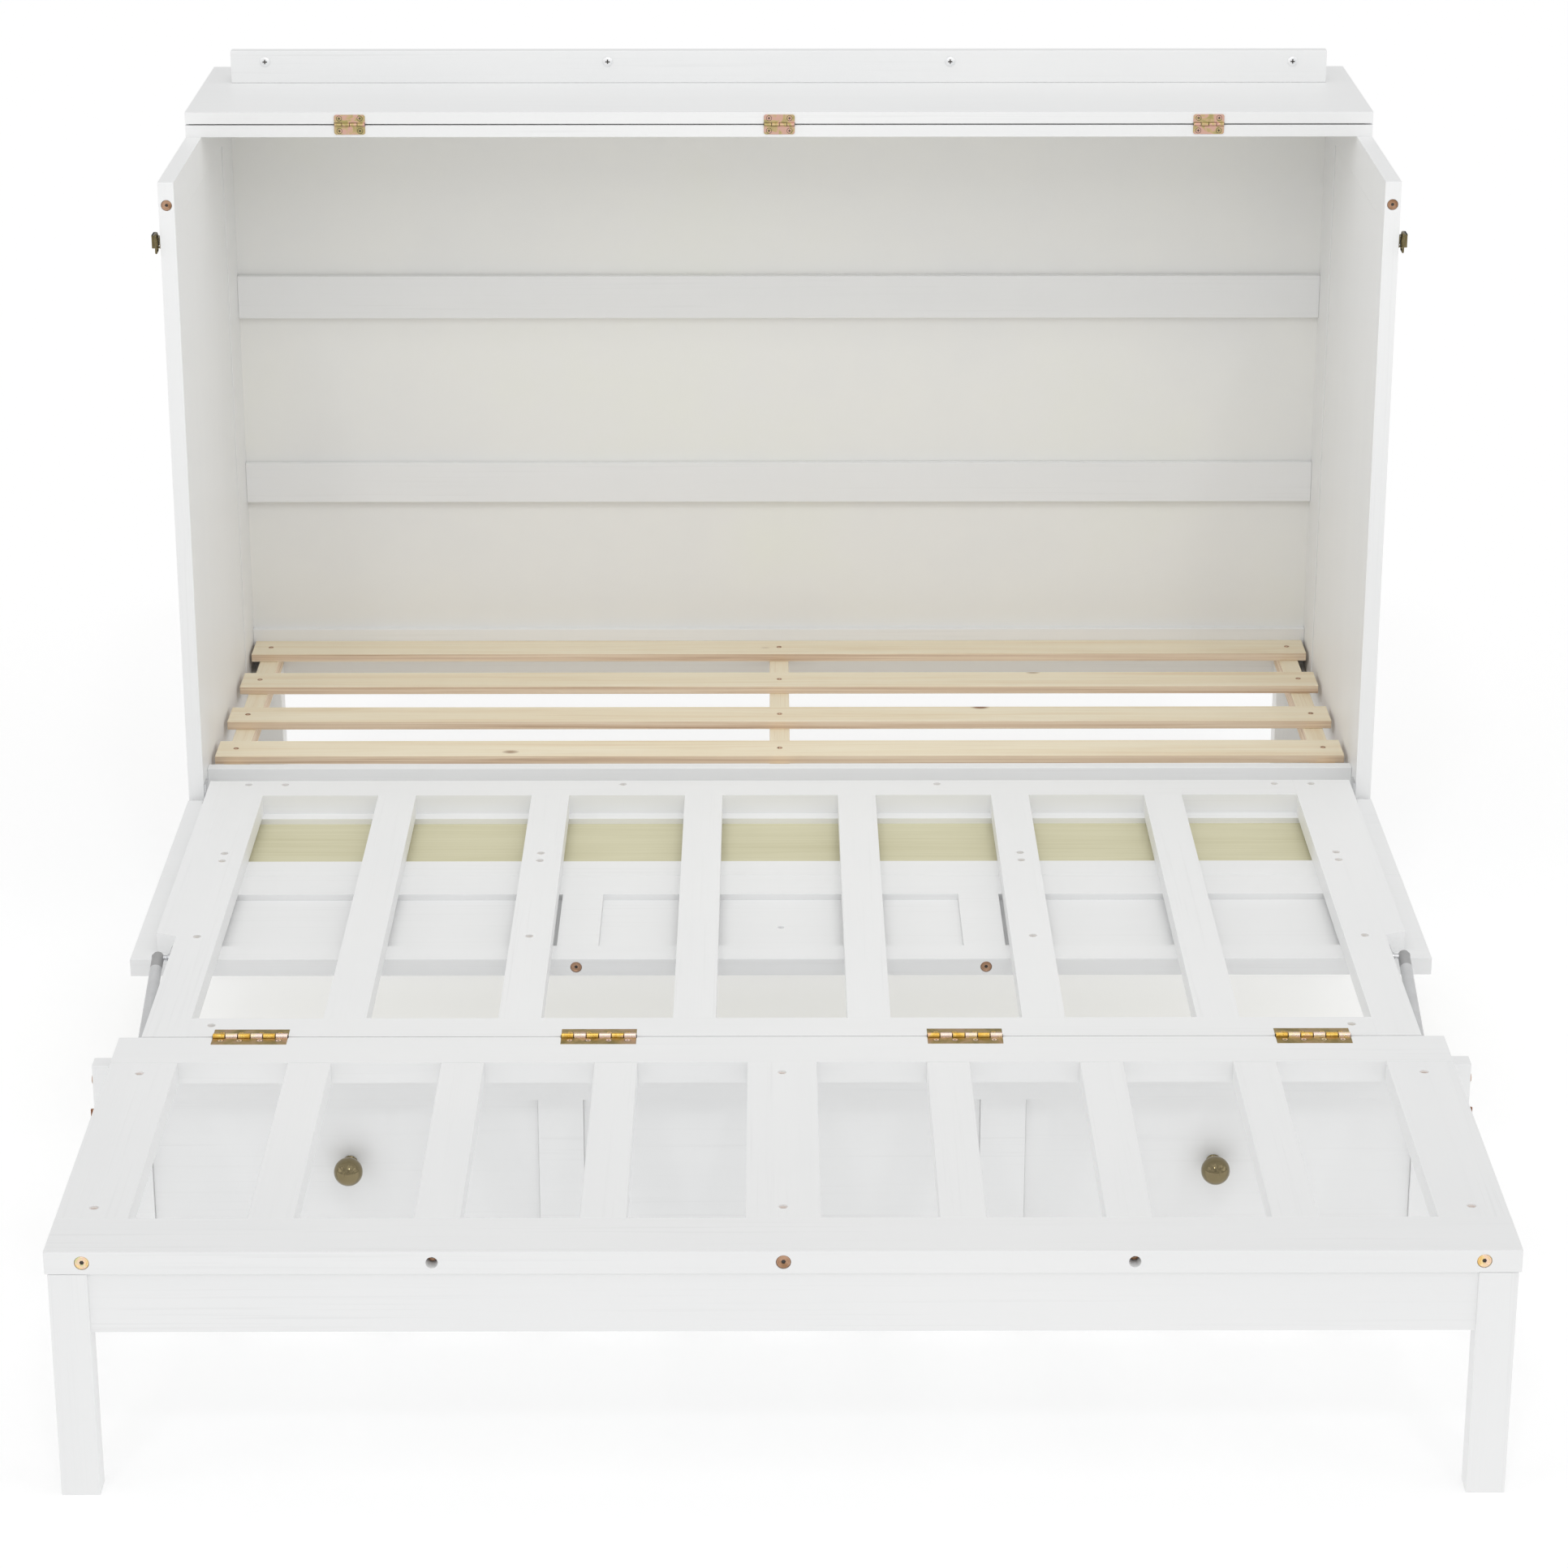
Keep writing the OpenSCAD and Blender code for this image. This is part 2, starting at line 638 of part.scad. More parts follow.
module hanging_leaf(x, y, z) translate([x, y, z]) rotate([-90, 0, 0])
    hinge_leaf(butt_l, 5, 1, butt_r, butt_pin_r, butt_leaf, butt_t, -0.5, false);

module leg_hinge_leaves() placed() color(steel)
    for (x = leg_hinge_x) hanging_leaf(x, leg_axis_y, frame_z);

// ---- Drop panel ----

module drop_window_boxes(y0, y1) for (w = windows(drop_stile))
    box([w[0], y0, drop_rail_h], [w[1], y1, drop_h - drop_rail_h]);

module drop_panel_frame() placed() color(white) difference() {
    box([-half_w, drop_y0, 0], [half_w, drop_y1, drop_h]);
    drop_window_boxes(drop_y0 - cut, drop_y1 + cut);
    hanging_room(drop_hinge_x, drop_axis_y, drop_axis_z, drop_y1);
}

module drop_panel_infills() placed() color(white)
    drop_window_boxes(drop_infill_y, drop_infill_y + drop_infill_t);

module knob() rotate([90, 0, 0]) rotate_extrude() {
    stem = 12;
    ball = knob_d / 2;
    difference() {
        union() {
            square([9, 2.5]);
            square([6, stem]);
            translate([0, stem - 3 + ball]) circle(r = ball);
        }
        translate([-2 * ball, -cut]) square([2 * ball, 4 * ball + stem]);
    }
}

module knobs() placed() color(brass) for (s = [-1, 1])
    translate([s * knob_x, drop_infill_y, knob_z]) knob();

module drop_panel_bolts() placed() both_sides() color(zinc)
    rod_x(half_w, half_w + 2.5, (drop_y0 + drop_y1) / 2, drop_h - 22, bolt_r);

// A plate with a post that the bail pulls against when the bed is folded
module latch_strikes() placed() both_sides() color(brass) {
    box([half_w, drop_y0 + 4, strike_z - 7], [half_w + latch_plate_t, strike_y + 2, strike_z + 7]);
    box([half_w + 1, strike_y, strike_z - 6], [half_w + 7.5, strike_y + 2, strike_z + 6]);
}

// The strut's foot stands 0.3 mm beside this bracket's stud
module strut_brackets_lower() placed() both_sides() color(steel) {
    box([bracket_x[0], drop_y1, strut_foot[1] - 16], [bracket_x[1], drop_y1 + 2, strut_foot[1] + 16]);
    box([bracket_x[1] - 2, drop_y1, strut_foot[1] - 7],
        [bracket_x[1], strut_foot[0], strut_foot[1] + 7]);
    rod_x(bracket_x[1] - 2, bracket_x[1], strut_foot[0], strut_foot[1], 7);
    rod_x(bracket_x[1], strut_eye_x[0] - 0.3, strut_foot[0], strut_foot[1], strut_pin_r);
}

module drop_hinge_panel_leaves() placed() color(steel)
    for (x = drop_hinge_x) hanging_leaf(x, drop_axis_y, drop_axis_z);

// ---- Gas struts ----

// Drawn from the upper pivot along -Y, then tilted to the foot
module along_strut() translate([strut_x, strut_top[0], strut_top[1]])
    rotate([strut_tilt, 0, 0]) children();

module strut_tube() color(steel) along_strut() difference() {
    union() {
        rod_x(-7, 7, 0, 0, strut_r);
        rotate([90, 0, 0]) cylinder(r = strut_r, h = strut_tube_l);
    }
    rod_x(-8, running + 0.1, 0, 0, strut_pin_r + running);
    rotate([90, 0, 0]) translate([0, 0, 12]) cylinder(r = strut_r - 1.5, h = strut_tube_l - 20);
    rotate([90, 0, 0]) translate([0, 0, 12]) cylinder(r = strut_rod_r + running, h = strut_tube_l);
}

module strut_rod() color([0.75, 0.76, 0.78]) along_strut() {
    rotate([90, 0, 0]) translate([0, 0, 14 + strut_stroke])
        cylinder(r = strut_rod_r, h = strut_l - 14 - strut_stroke);
    rod_x(-6, 6, -strut_l, 0, strut_eye_r);
}

module strut_tube_left() placed() mirror([1, 0, 0]) strut_tube();
module strut_tube_right() placed() strut_tube();
module strut_rod_left() placed() mirror([1, 0, 0]) strut_rod();
module strut_rod_right() placed() strut_rod();

side_left();
side_right();
side_infills();
back_panel();
back_rails();
corner_posts();
top_board();
front_board();
slats();
slat_rails();
cabinet_screws();
pivot_brackets();
latch_bases();
lid_hinge_fixed_leaves();
lid_board();
lid_batten();
lid_batten_screws();
lid_hinge_moving_leaves();
latch_lever_left();
latch_lever_right();
latch_bail_left();
latch_bail_right();
mid_stile_left();
mid_stile_right();
mid_back_rail();
mid_front_rail();
mid_bars();
fascia_strip();
fascia_strip_infill();
fascia_panel();
fascia_panel_infills();
fascia_hinges();
mid_bolts();
fold_hinge_rear_leaves();
strut_brackets_upper();
drop_hinge_frame_leaves();
front_inner_rail();
front_outer_rail();
front_stile_left();
front_stile_right();
front_centre_stile();
front_bars();
front_bolts();
fold_hinge_front_leaves();
leg_hinge_frame_leaves();
leg_left();
leg_right();
leg_apron();
leg_hinge_leaves();
drop_panel_frame();
drop_panel_infills();
knobs();
drop_panel_bolts();
latch_strikes();
strut_brackets_lower();
drop_hinge_panel_leaves();
strut_tube_left();
strut_tube_right();
strut_rod_left();
strut_rod_right();
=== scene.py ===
"""Looks for the cabinet bed: materials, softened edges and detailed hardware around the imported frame.

Lengths inside the shape functions are in millimetres; everything placed in the scene is in metres.
"""
import json
import math

import bmesh
import bpy
from mathutils import Matrix, Vector


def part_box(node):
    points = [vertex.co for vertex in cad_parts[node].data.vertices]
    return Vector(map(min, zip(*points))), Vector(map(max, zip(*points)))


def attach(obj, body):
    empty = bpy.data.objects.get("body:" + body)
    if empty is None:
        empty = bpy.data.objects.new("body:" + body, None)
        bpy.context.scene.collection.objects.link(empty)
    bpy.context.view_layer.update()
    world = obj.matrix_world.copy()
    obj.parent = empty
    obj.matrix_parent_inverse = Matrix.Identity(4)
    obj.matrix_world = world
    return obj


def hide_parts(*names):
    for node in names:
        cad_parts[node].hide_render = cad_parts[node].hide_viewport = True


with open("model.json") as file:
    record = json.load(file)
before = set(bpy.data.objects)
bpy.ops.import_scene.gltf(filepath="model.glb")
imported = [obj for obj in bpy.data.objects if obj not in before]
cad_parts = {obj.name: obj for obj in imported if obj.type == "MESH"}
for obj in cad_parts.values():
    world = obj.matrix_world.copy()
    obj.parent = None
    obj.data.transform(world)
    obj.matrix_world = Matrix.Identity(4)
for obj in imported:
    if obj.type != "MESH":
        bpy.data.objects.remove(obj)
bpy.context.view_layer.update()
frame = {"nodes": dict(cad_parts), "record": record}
scene = bpy.context.scene

MM = 0.001
SIDES = {"left": -1, "right": 1}
JOINTS = {joint["name"]: joint for joint in frame["record"]["behaviour"]["joints"]}

TO_METRES = Matrix.Scale(MM, 4)
STILL = Matrix.Identity(4)
Z_TO_X = Matrix.Rotation(math.pi / 2, 4, "Y")

CAMERA_PLACE = (-0.0132, -5.0314, 2.2963)
CAMERA_LENS = 97.33
CAMERA_DOWN = 20.311
CAMERA_TURN = -0.1966
SKY_LIGHT = 0.6
SKY_SEEN = 1.0
FLOOR_WHITE = 0.72
FLOOR_GLOW = 0.36
FLOOR_REACH = 30


# ---- Camera, light and floor ----

def make_camera():
    """The viewing point: in front of the foot of the bed, above it and looking down."""
    data = bpy.data.cameras.new("camera")
    data.lens = CAMERA_LENS
    data.sensor_width = 36
    camera = bpy.data.objects.new("camera", data)
    camera.location = CAMERA_PLACE
    camera.rotation_euler = (math.radians(90 - CAMERA_DOWN), 0, math.radians(CAMERA_TURN))
    scene.collection.objects.link(camera)
    scene.camera = camera


def soft_sun(name, towards, strength, spread):
    """A far, wide lamp that shines from the given direction; spread is its width in degrees."""
    data = bpy.data.lights.new(name, "SUN")
    data.energy = strength
    data.angle = math.radians(spread)
    lamp = bpy.data.objects.new(name, data)
    lamp.rotation_euler = Vector(towards).to_track_quat("Z", "Y").to_euler()
    scene.collection.objects.link(lamp)


def softbox(place, towards, size, power):
    """A near panel lamp, unseen itself, that shines from its place in the given direction."""
    data = bpy.data.lights.new("softbox", "AREA")
    data.shape = "RECTANGLE"
    data.size, data.size_y = size
    data.energy = power
    lamp = bpy.data.objects.new("softbox", data)
    lamp.location = place
    lamp.rotation_euler = Vector(towards).to_track_quat("-Z", "Y").to_euler()
    lamp.visible_camera = False
    scene.collection.objects.link(lamp)


def make_studio():
    """A white studio: an even sky, a wide lamp overhead, a panel above the bed, and lamps on both sides.

    The sky is seen as white but shines less strongly than it looks."""
    scene.view_settings.view_transform = "Standard"
    world = bpy.data.worlds.new("studio")
    world.use_nodes = True
    sky = world.node_tree.nodes["Background"]
    sky.inputs["Color"].default_value = (1.0, 1.0, 1.0, 1)
    seen = world.node_tree.nodes.new("ShaderNodeLightPath")
    strength = world.node_tree.nodes.new("ShaderNodeMapRange")
    strength.inputs["To Min"].default_value = SKY_LIGHT
    strength.inputs["To Max"].default_value = SKY_SEEN
    world.node_tree.links.new(seen.outputs["Is Camera Ray"], strength.inputs["Value"])
    world.node_tree.links.new(strength.outputs["Result"], sky.inputs["Strength"])
    scene.world = world
    soft_sun("overhead", (0.1, -0.15, 1), 0.5, 80)
    softbox((0, -0.5, 1.8), (0, 1, -0.9), (1.5, 0.5), 3.2)
    for side in SIDES.values():
        soft_sun("low_front", (0.5 * side, -1, 0.22), 0.08, 35)
        soft_sun("side", (side, -0.3, 0.5), 0.26, 40)
        soft_sun("glint", (0.3 * side, -1, 1.1), 0.1, 5)


def make_floor():
    """A wide, nearly white floor that glows a little, so that it fades into the sky."""
    mesh = bpy.data.meshes.new("floor")
    reach = FLOOR_REACH
    corners = [(-reach, -reach, 0), (reach, -reach, 0), (reach, reach, 0), (-reach, reach, 0)]
    mesh.from_pydata(corners, [], [(0, 1, 2, 3)])
    floor = bpy.data.objects.new("floor", mesh)
    scene.collection.objects.link(floor)
    nodes = Nodes("floor_white", (FLOOR_WHITE,) * 3, roughness=0.9)
    nodes.set("Emission Color", (1, 1, 1, 1))
    nodes.set("Emission Strength", FLOOR_GLOW)
    mesh.materials.append(nodes.material)


# ---- Materials ----

class Nodes:
    """A procedural material, built on one Principled shader."""

    def __init__(self, name, colour, roughness=0.5, metallic=0.0):
        self.material = bpy.data.materials.new(name)
        self.material.use_nodes = True
        self.tree = self.material.node_tree
        self.shader = self.tree.nodes["Principled BSDF"]
        self.set("Base Color", (*colour, 1))
        self.set("Roughness", roughness)
        self.set("Metallic", metallic)
        self.height = None

    def set(self, socket, value):
        self.shader.inputs[socket].default_value = value

    def node(self, kind, **values):
        made = self.tree.nodes.new(kind)
        for key, value in values.items():
            setattr(made, key, value)
        return made

    def link(self, source, target):
        self.tree.links.new(source, target)

    def place(self, stretch=(1, 1, 1)):
        """The piece's own coordinates, in metres, multiplied by stretch."""
        coordinates = self.node("ShaderNodeTexCoord")
        mapping = self.node("ShaderNodeMapping")
        mapping.inputs["Scale"].default_value = stretch
        self.link(coordinates.outputs["Object"], mapping.inputs["Vector"])
        return mapping.outputs["Vector"]

    def noise(self, scale, stretch=(1, 1, 1), detail=3, roughness=0.5, warp=0.0):
        made = self.node("ShaderNodeTexNoise")
        made.inputs["Scale"].default_value = scale
        made.inputs["Detail"].default_value = detail
        made.inputs["Roughness"].default_value = roughness
        made.inputs["Distortion"].default_value = warp
        self.link(self.place(stretch), made.inputs["Vector"])
        return made.outputs["Fac"]

    def spots(self, scale, stretch, low, high):
        """One in the middle of scattered spots, falling to nothing at their rims."""
        made = self.node("ShaderNodeTexVoronoi")
        made.inputs["Scale"].default_value = scale
        self.link(self.place(stretch), made.inputs["Vector"])
        return self.spread(made.outputs["Distance"], high, low)

    def spread(self, value, low, high, to_low=0.0, to_high=1.0):
        made = self.node("ShaderNodeMapRange")
        limits = {"From Min": low, "From Max": high, "To Min": to_low, "To Max": to_high}
        for socket, number in limits.items():
            made.inputs[socket].default_value = number
        self.link(value, made.inputs["Value"])
        return made.outputs["Result"]

    def ramp(self, value, *stops):
        made = self.node("ShaderNodeValToRGB")
        points = made.color_ramp.elements
        while len(points) < len(stops):
            points.new(0.5)
        for point, (at, colour) in zip(points, stops):
            point.position = at
            point.color = (*colour, 1)
        self.link(value, made.inputs["Fac"])
        return made.outputs["Color"]

    def mix(self, share, first, second):
        made = self.node("ShaderNodeMix", data_type="RGBA")
        for key, source in (("Factor", share), (6, first), (7, second)):
            socket = made.inputs[key]
            if isinstance(source, tuple):
                socket.default_value = (*source, 1)
            else:
                self.link(source, socket)
        return made.outputs[2]

    def vertical_faces(self):
        """One on upright faces, nothing on level ones."""
        coordinates = self.node("ShaderNodeTexCoord")
        parts = self.node("ShaderNodeSeparateXYZ")
        size = self.node("ShaderNodeMath", operation="ABSOLUTE")
        self.link(coordinates.outputs["Normal"], parts.inputs["Vector"])
        self.link(parts.outputs["Z"], size.inputs[0])
        return self.spread(size.outputs[0], 0.75, 0.35)

    def colour(self, source):
        self.link(source, self.shader.inputs["Base Color"])

    def roughness(self, source):
        self.link(source, self.shader.inputs["Roughness"])

    def bump(self, height, depth):
        """Adds relief of the given depth, in metres, on top of any relief so far."""
        made = self.node("ShaderNodeBump")
        made.inputs["Distance"].default_value = depth
        made.inputs["Strength"].default_value = 1.0
        self.link(height, made.inputs["Height"])
        if self.height:
            self.link(self.height, made.inputs["Normal"])
        self.height = made.outputs["Normal"]
        self.link(self.height, self.shader.inputs["Normal"])


def along(axis, length_scale, cross_scale):
    """A stretch whose pattern runs long along one axis."""
    return tuple(length_scale if name == axis else cross_scale for name in "xyz")


def white_paint(grain):
    """Sprayed satin paint on solid wood: the grain still shows a little through it."""
    made = Nodes(f"white_paint_{grain}", (0.86, 0.865, 0.865), roughness=0.42)
    fibres = made.noise(1.0, along(grain, 3.0, 260), detail=4, roughness=0.6)
    bands = made.noise(1.0, along(grain, 0.9, 22), detail=2, warp=0.6)
    patches = made.noise(2.6, detail=2)
    toned = made.ramp(patches, (0.3, (0.842, 0.848, 0.85)), (0.7, (0.872, 0.875, 0.873)))
    lined = made.ramp(made.spread(fibres, 0.3, 0.62), (0.0, (0.80, 0.803, 0.803)),
                      (0.45, (0.872, 0.876, 0.876)))
    made.colour(made.mix(made.spread(bands, 0.4, 0.75, 0.15, 0.75), toned, lined))
    made.roughness(made.spread(fibres, 0.3, 0.7, 0.36, 0.5))
    made.bump(fibres, 0.00012)
    made.bump(made.noise(850, detail=1), 0.00003)
    return made.material


def back_board():
    """Matt warm grey foil on a thin sheet, slightly mottled."""
    made = Nodes("back_board", (0.87, 0.868, 0.84), roughness=0.62)
    clouds = made.noise(3.2, detail=4, roughness=0.6)
    made.colour(made.ramp(clouds, (0.3, (0.85, 0.85, 0.835)), (0.55, (0.875, 0.873, 0.845)),
                          (0.75, (0.875, 0.88, 0.825))))
    made.bump(made.noise(1.0, (500, 40, 9), detail=3), 0.00005)
    return made.material


def pine(name, grain):
    """Bare sanded softwood: pale faces, browner layered edges, and a few small knots."""
    made = Nodes(name, (0.82, 0.68, 0.46), roughness=0.58)
    rings = made.noise(1.0, along(grain, 1.4, 34), detail=5, roughness=0.55, warp=0.8)
    fibres = made.noise(1.0, along(grain, 5, 420), detail=3, roughness=0.7)
    face = made.ramp(rings, (0.3, (0.80, 0.65, 0.44)), (0.44, (0.87, 0.76, 0.56)),
                     (0.56, (0.90, 0.81, 0.625)), (0.8, (0.85, 0.725, 0.52)))
    layers = made.noise(1.0, along(grain, 2.0, 300), detail=5, roughness=0.6, warp=0.5)
    edge = made.ramp(layers, (0.3, (0.46, 0.30, 0.19)), (0.42, (0.68, 0.51, 0.36)),
                     (0.55, (0.80, 0.65, 0.485)), (0.75, (0.86, 0.73, 0.57)))
    wood = made.mix(made.vertical_faces(), face, edge)
    speckled = made.mix(made.spread(fibres, 0.42, 0.30, 0.0, 0.3), wood, (0.64, 0.46, 0.28))
    knots = made.spots(1.0, along(grain, 5, 8), 0.03, 0.075)
    made.colour(made.mix(knots, speckled, (0.30, 0.165, 0.085)))
    made.roughness(made.spread(rings, 0.3, 0.7, 0.5, 0.66))
    made.bump(fibres, 0.00018)
    return made.material


def plywood():
    """Unpainted plywood with a greenish khaki face and fine streaks."""
    made = Nodes("plywood", (0.65, 0.615, 0.41), roughness=0.6)
    streaks = made.noise(1.0, (4, 300, 300), detail=4, roughness=0.6)
    clouds = made.noise(1.0, (2.5, 22, 22), detail=3, warp=0.5)
    toned = made.ramp(clouds, (0.3, (0.60, 0.565, 0.365)), (0.7, (0.68, 0.65, 0.45)))
    made.colour(made.mix(made.spread(streaks, 0.35, 0.6, 0.0, 0.6), toned, (0.72, 0.69, 0.50)))
    made.bump(streaks, 0.0001)
    return made.material


def plated(name, *stops, roughness=0.3, scale=90, relief=0.00002):
    """A plated metal whose colour drifts between the given stops."""
    made = Nodes(name, stops[0][1], roughness=roughness, metallic=1.0)
    drift = made.noise(scale, detail=3, warp=0.7)
    made.colour(made.ramp(drift, *stops))
    scuffs = made.noise(scale * 9, detail=4, roughness=0.7)
    made.roughness(made.spread(scuffs, 0.3, 0.7, roughness - 0.05, roughness + 0.1))
    made.bump(scuffs, relief)
    return made.material


def satin(name, colour, roughness, drift=0.06):
    """A painted or moulded surface with a fine uneven skin."""
    made = Nodes(name, colour, roughness=roughness)
    clouds = made.noise(60, detail=3)
    darker = tuple(c * (1 - drift) for c in colour)
    made.colour(made.ramp(clouds, (0.35, darker), (0.65, colour)))
    skin = made.noise(1400, detail=2)
    made.roughness(made.spread(skin, 0.3, 0.7, roughness - 0.05, roughness + 0.08))
    made.bump(skin, 0.00002)
    return made.material


PAINT = {axis: white_paint(axis) for axis in "xyz"}
BACK = back_board()
PINE_X, PINE_Y = pine("pine_across", "x"), pine("pine_along", "y")
PLY = plywood()
ZINC = plated("yellow_zinc", (0.32, (0.90, 0.60, 0.22)), (0.46, (0.93, 0.72, 0.38)),
              (0.56, (0.92, 0.66, 0.52)), (0.68, (0.78, 0.76, 0.42)), roughness=0.26)
GOLD_ZINC = plated("golden_zinc", (0.35, (0.72, 0.42, 0.07)), (0.55, (0.86, 0.58, 0.16)),
                   (0.7, (0.84, 0.52, 0.34)), roughness=0.24)
PALE_ZINC = plated("pale_zinc", (0.35, (0.90, 0.74, 0.44)), (0.55, (0.92, 0.72, 0.62)), roughness=0.26)
# The hinges' yellow zinc, made far darker than their knuckles. This is painted shade on the fold hinges'
# leaves.
SHADED_LEAF_ZINC = plated("hinge_leaf_zinc_painted_shade", (0.34, (0.30, 0.235, 0.085)), (0.50, (0.44, 0.33, 0.14)),
                   (0.64, (0.52, 0.36, 0.22)), roughness=0.33, scale=60)
LID_ZINC = plated("lid_hinge_zinc", (0.36, (0.44, 0.37, 0.16)), (0.46, (0.60, 0.45, 0.24)),
                  (0.54, (0.68, 0.42, 0.34)), roughness=0.34, scale=90)
COPPER = plated("copper_zinc", (0.35, (0.36, 0.20, 0.11)), (0.6, (0.54, 0.34, 0.23)), roughness=0.32)
# Dark antique brass, made darker still to stand in for the dark surroundings it would reflect. This is
# partly the finish and partly painted shade.
SHADED_BRASS = plated("antique_brass", (0.35, (0.12, 0.095, 0.045)), (0.65, (0.21, 0.17, 0.085)), roughness=0.27,
               scale=40)
# Polished bronze with a base colour far darker than bronze, standing in for the dark surroundings it would
# reflect. This is a painted dark reflection.
SHADED_BRONZE = plated("polished_bronze_painted_shade", (0.35, (0.22, 0.18, 0.10)), (0.65, (0.26, 0.215, 0.125)),
                  roughness=0.13, scale=14, relief=0.000002)
STEEL = plated("bare_steel", (0.35, (0.62, 0.63, 0.65)), (0.65, (0.74, 0.745, 0.75)), roughness=0.27)
BRIGHT = plated("bright_zinc", (0.35, (0.86, 0.87, 0.88)), (0.65, (0.93, 0.93, 0.93)), roughness=0.45)
ROD = plated("strut_rod", (0.35, (0.74, 0.75, 0.77)), (0.65, (0.80, 0.81, 0.82)), roughness=0.12)
TUBE = satin("strut_paint", (0.58, 0.585, 0.59), 0.3)
CAP = satin("strut_cap", (0.36, 0.36, 0.36), 0.4)
# Near black, for places that are only shade: countersink rims, the floors of cross and hex recesses, and
# hinge pins seen through the knuckle gaps. This is painted shade.
PAINTED_SHADE = satin("painted_shade_dark", (0.05, 0.042, 0.036), 0.6)
PLUG = plated("pale_nut", (0.35, (0.84, 0.75, 0.70)), (0.65, (0.93, 0.88, 0.85)), roughness=0.5)


# ---- Shapes: each returns (points, faces), in millimetres ----

def lathe(profile, count=40):
    """Turns a profile of (radius, z) about Z. A radius may be a function of the angle."""
    points, faces = [], []
    for radius, z in profile:
        for i in range(count):
            angle = 2 * math.pi * i / count
            r = radius(angle) if callable(radius) else radius
            points.append((r * math.cos(angle), r * math.sin(angle), z))
    for ring in range(len(profile) - 1):
        for i in range(count):
            j = (i + 1) % count
            low, high = ring * count, (ring + 1) * count
            faces.append((low + i, low + j, high + j, high + i))
    faces.append(tuple(reversed(range(count))))
    faces.append(tuple(range((len(profile) - 1) * count, len(profile) * count)))
    return points, faces


def rod(radius, length, chamfer=0.3, count=32):
    """A cylinder along Z from 0, with softened rims."""
    return lathe([(radius - chamfer, 0), (radius, chamfer), (radius, length - chamfer),
                  (radius - chamfer, length)], count)


def slab(outline, low, high):
    """A flat outline, given counter-clockwise, raised from low to high."""
    count = len(outline)
    points = [(x, y, z) for z in (low, high) for x, y in outline]
    faces = [tuple(reversed(range(count))), tuple(range(count, 2 * count))]
    faces += [(i, (i + 1) % count, count + (i + 1) % count, count + i) for i in range(count)]
    return points, faces


def arc(x, y, radius, start, end, steps=6):
    turns = [math.radians(start + (end - start) * i / steps) for i in range(steps + 1)]
    return [(x + radius * math.cos(t), y + radius * math.sin(t)) for t in turns]


def rounded(x0, y0, x1, y1, radii):
    """A rectangle's outline; radii are those of its low-left, low-right, top-right and top-left corners."""
    places = ((x0, y0, 1, 1), (x1, y0, -1, 1), (x1, y1, -1, -1), (x0, y1, 1, -1))
    corners = zip(places, radii, (180, 270, 0, 90))
    outline = []
    for (x, y, sx, sy), radius, start in corners:
        if radius:
            outline += arc(x + sx * radius, y + sy * radius, radius, start, start + 90)
        else:
            outline.append((x, y))
    return outline


def block(low, high):
    outline = [(low[0], low[1]), (high[0], low[1]), (high[0], high[1]), (low[0], high[1])]
    return slab(outline, low[2], high[2])


def wire(path, radius, count=12):
    """A round wire along a path of points, with flat ends."""
    path = [Vector(p) for p in path]
    points, faces = [], []
    side = Vector((0, 0, 1)).cross(path[1] - path[0])
    side = side.normalized() if side.length > 1e-6 else Vector((1, 0, 0))
    for i, point in enumerate(path):
        ahead, behind = path[min(i + 1, len(path) - 1)], path[max(i - 1, 0)]
        run = (ahead - behind).normalized()
        side = (side - run * side.dot(run)).normalized()
        other = run.cross(side)
        for k in range(count):
            t = 2 * math.pi * k / count
            points.append(tuple(point + radius * (side * math.cos(t) + other * math.sin(t))))
    for ring in range(len(path) - 1):
        for k in range(count):
            m = (k + 1) % count
            low, high = ring * count, (ring + 1) * count
            faces.append((low + k, low + m, high + m, high + k))
    faces += [tuple(reversed(range(count))), tuple(range((len(path) - 1) * count, len(path) * count))]
    return points, faces


def hexagon(across):
    """The radius of a hexagon of that size across its flats, at an angle."""
    return lambda t: across / 2 / math.cos((t % (math.pi / 3)) - math.pi / 6)


def cross(reach, half):
    """The radius of a cross with arms of that reach and half width, at an angle."""
    def radius(t):
        fold = abs((t + math.pi / 4) % (math.pi / 2) - math.pi / 4)
        return min(reach / math.cos(fold), half / max(math.sin(fold), 1e-6))
    return radius


def star(reach, half, depth, top):
    """The steps of a profile that sink a cross into a head's top."""
    return [(cross(reach, half), top), (cross(reach * 0.62, half * 0.8), top - depth)]


def pan_screw(radius=7, height=2.2):
    """A domed screw head with a cross recess, standing on Z = 0."""
    return lathe([(radius * 0.96, 0), (radius, 0.5), (radius * 0.9, height * 0.62),
                  (radius * 0.72, height * 0.88), (radius * 0.58, height),
                  *star(radius * 0.5, radius * 0.13, height * 0.8, height)], 48)


def flat_screw(radius=3.4, proud=0.25):
    """A countersunk screw head with a cross recess, standing a little proud of Z = 0."""
    return lathe([(radius * 0.7, -radius * 0.3), (radius, 0), (radius * 0.93, proud),
                  *star(radius * 0.55, radius * 0.16, radius * 0.3, proud)], 32)


def screw(matrix, radius, proud, finish):
    """A countersunk screw: its head, with painted shade as a dark ring round its countersink and a dark
    floor in its cross.
    """
    rim = lathe([(radius * 1.16, -0.5), (radius * 1.16, 0.04)], 32)
    recess = cross(radius * 0.5, radius * 0.15)
    bottom = lathe([(recess, -0.4), (recess, proud * 0.5)], 32)
    return [(flat_screw(radius, proud), matrix, finish), (rim, matrix, PAINTED_SHADE), (bottom, matrix, PAINTED_SHADE)]


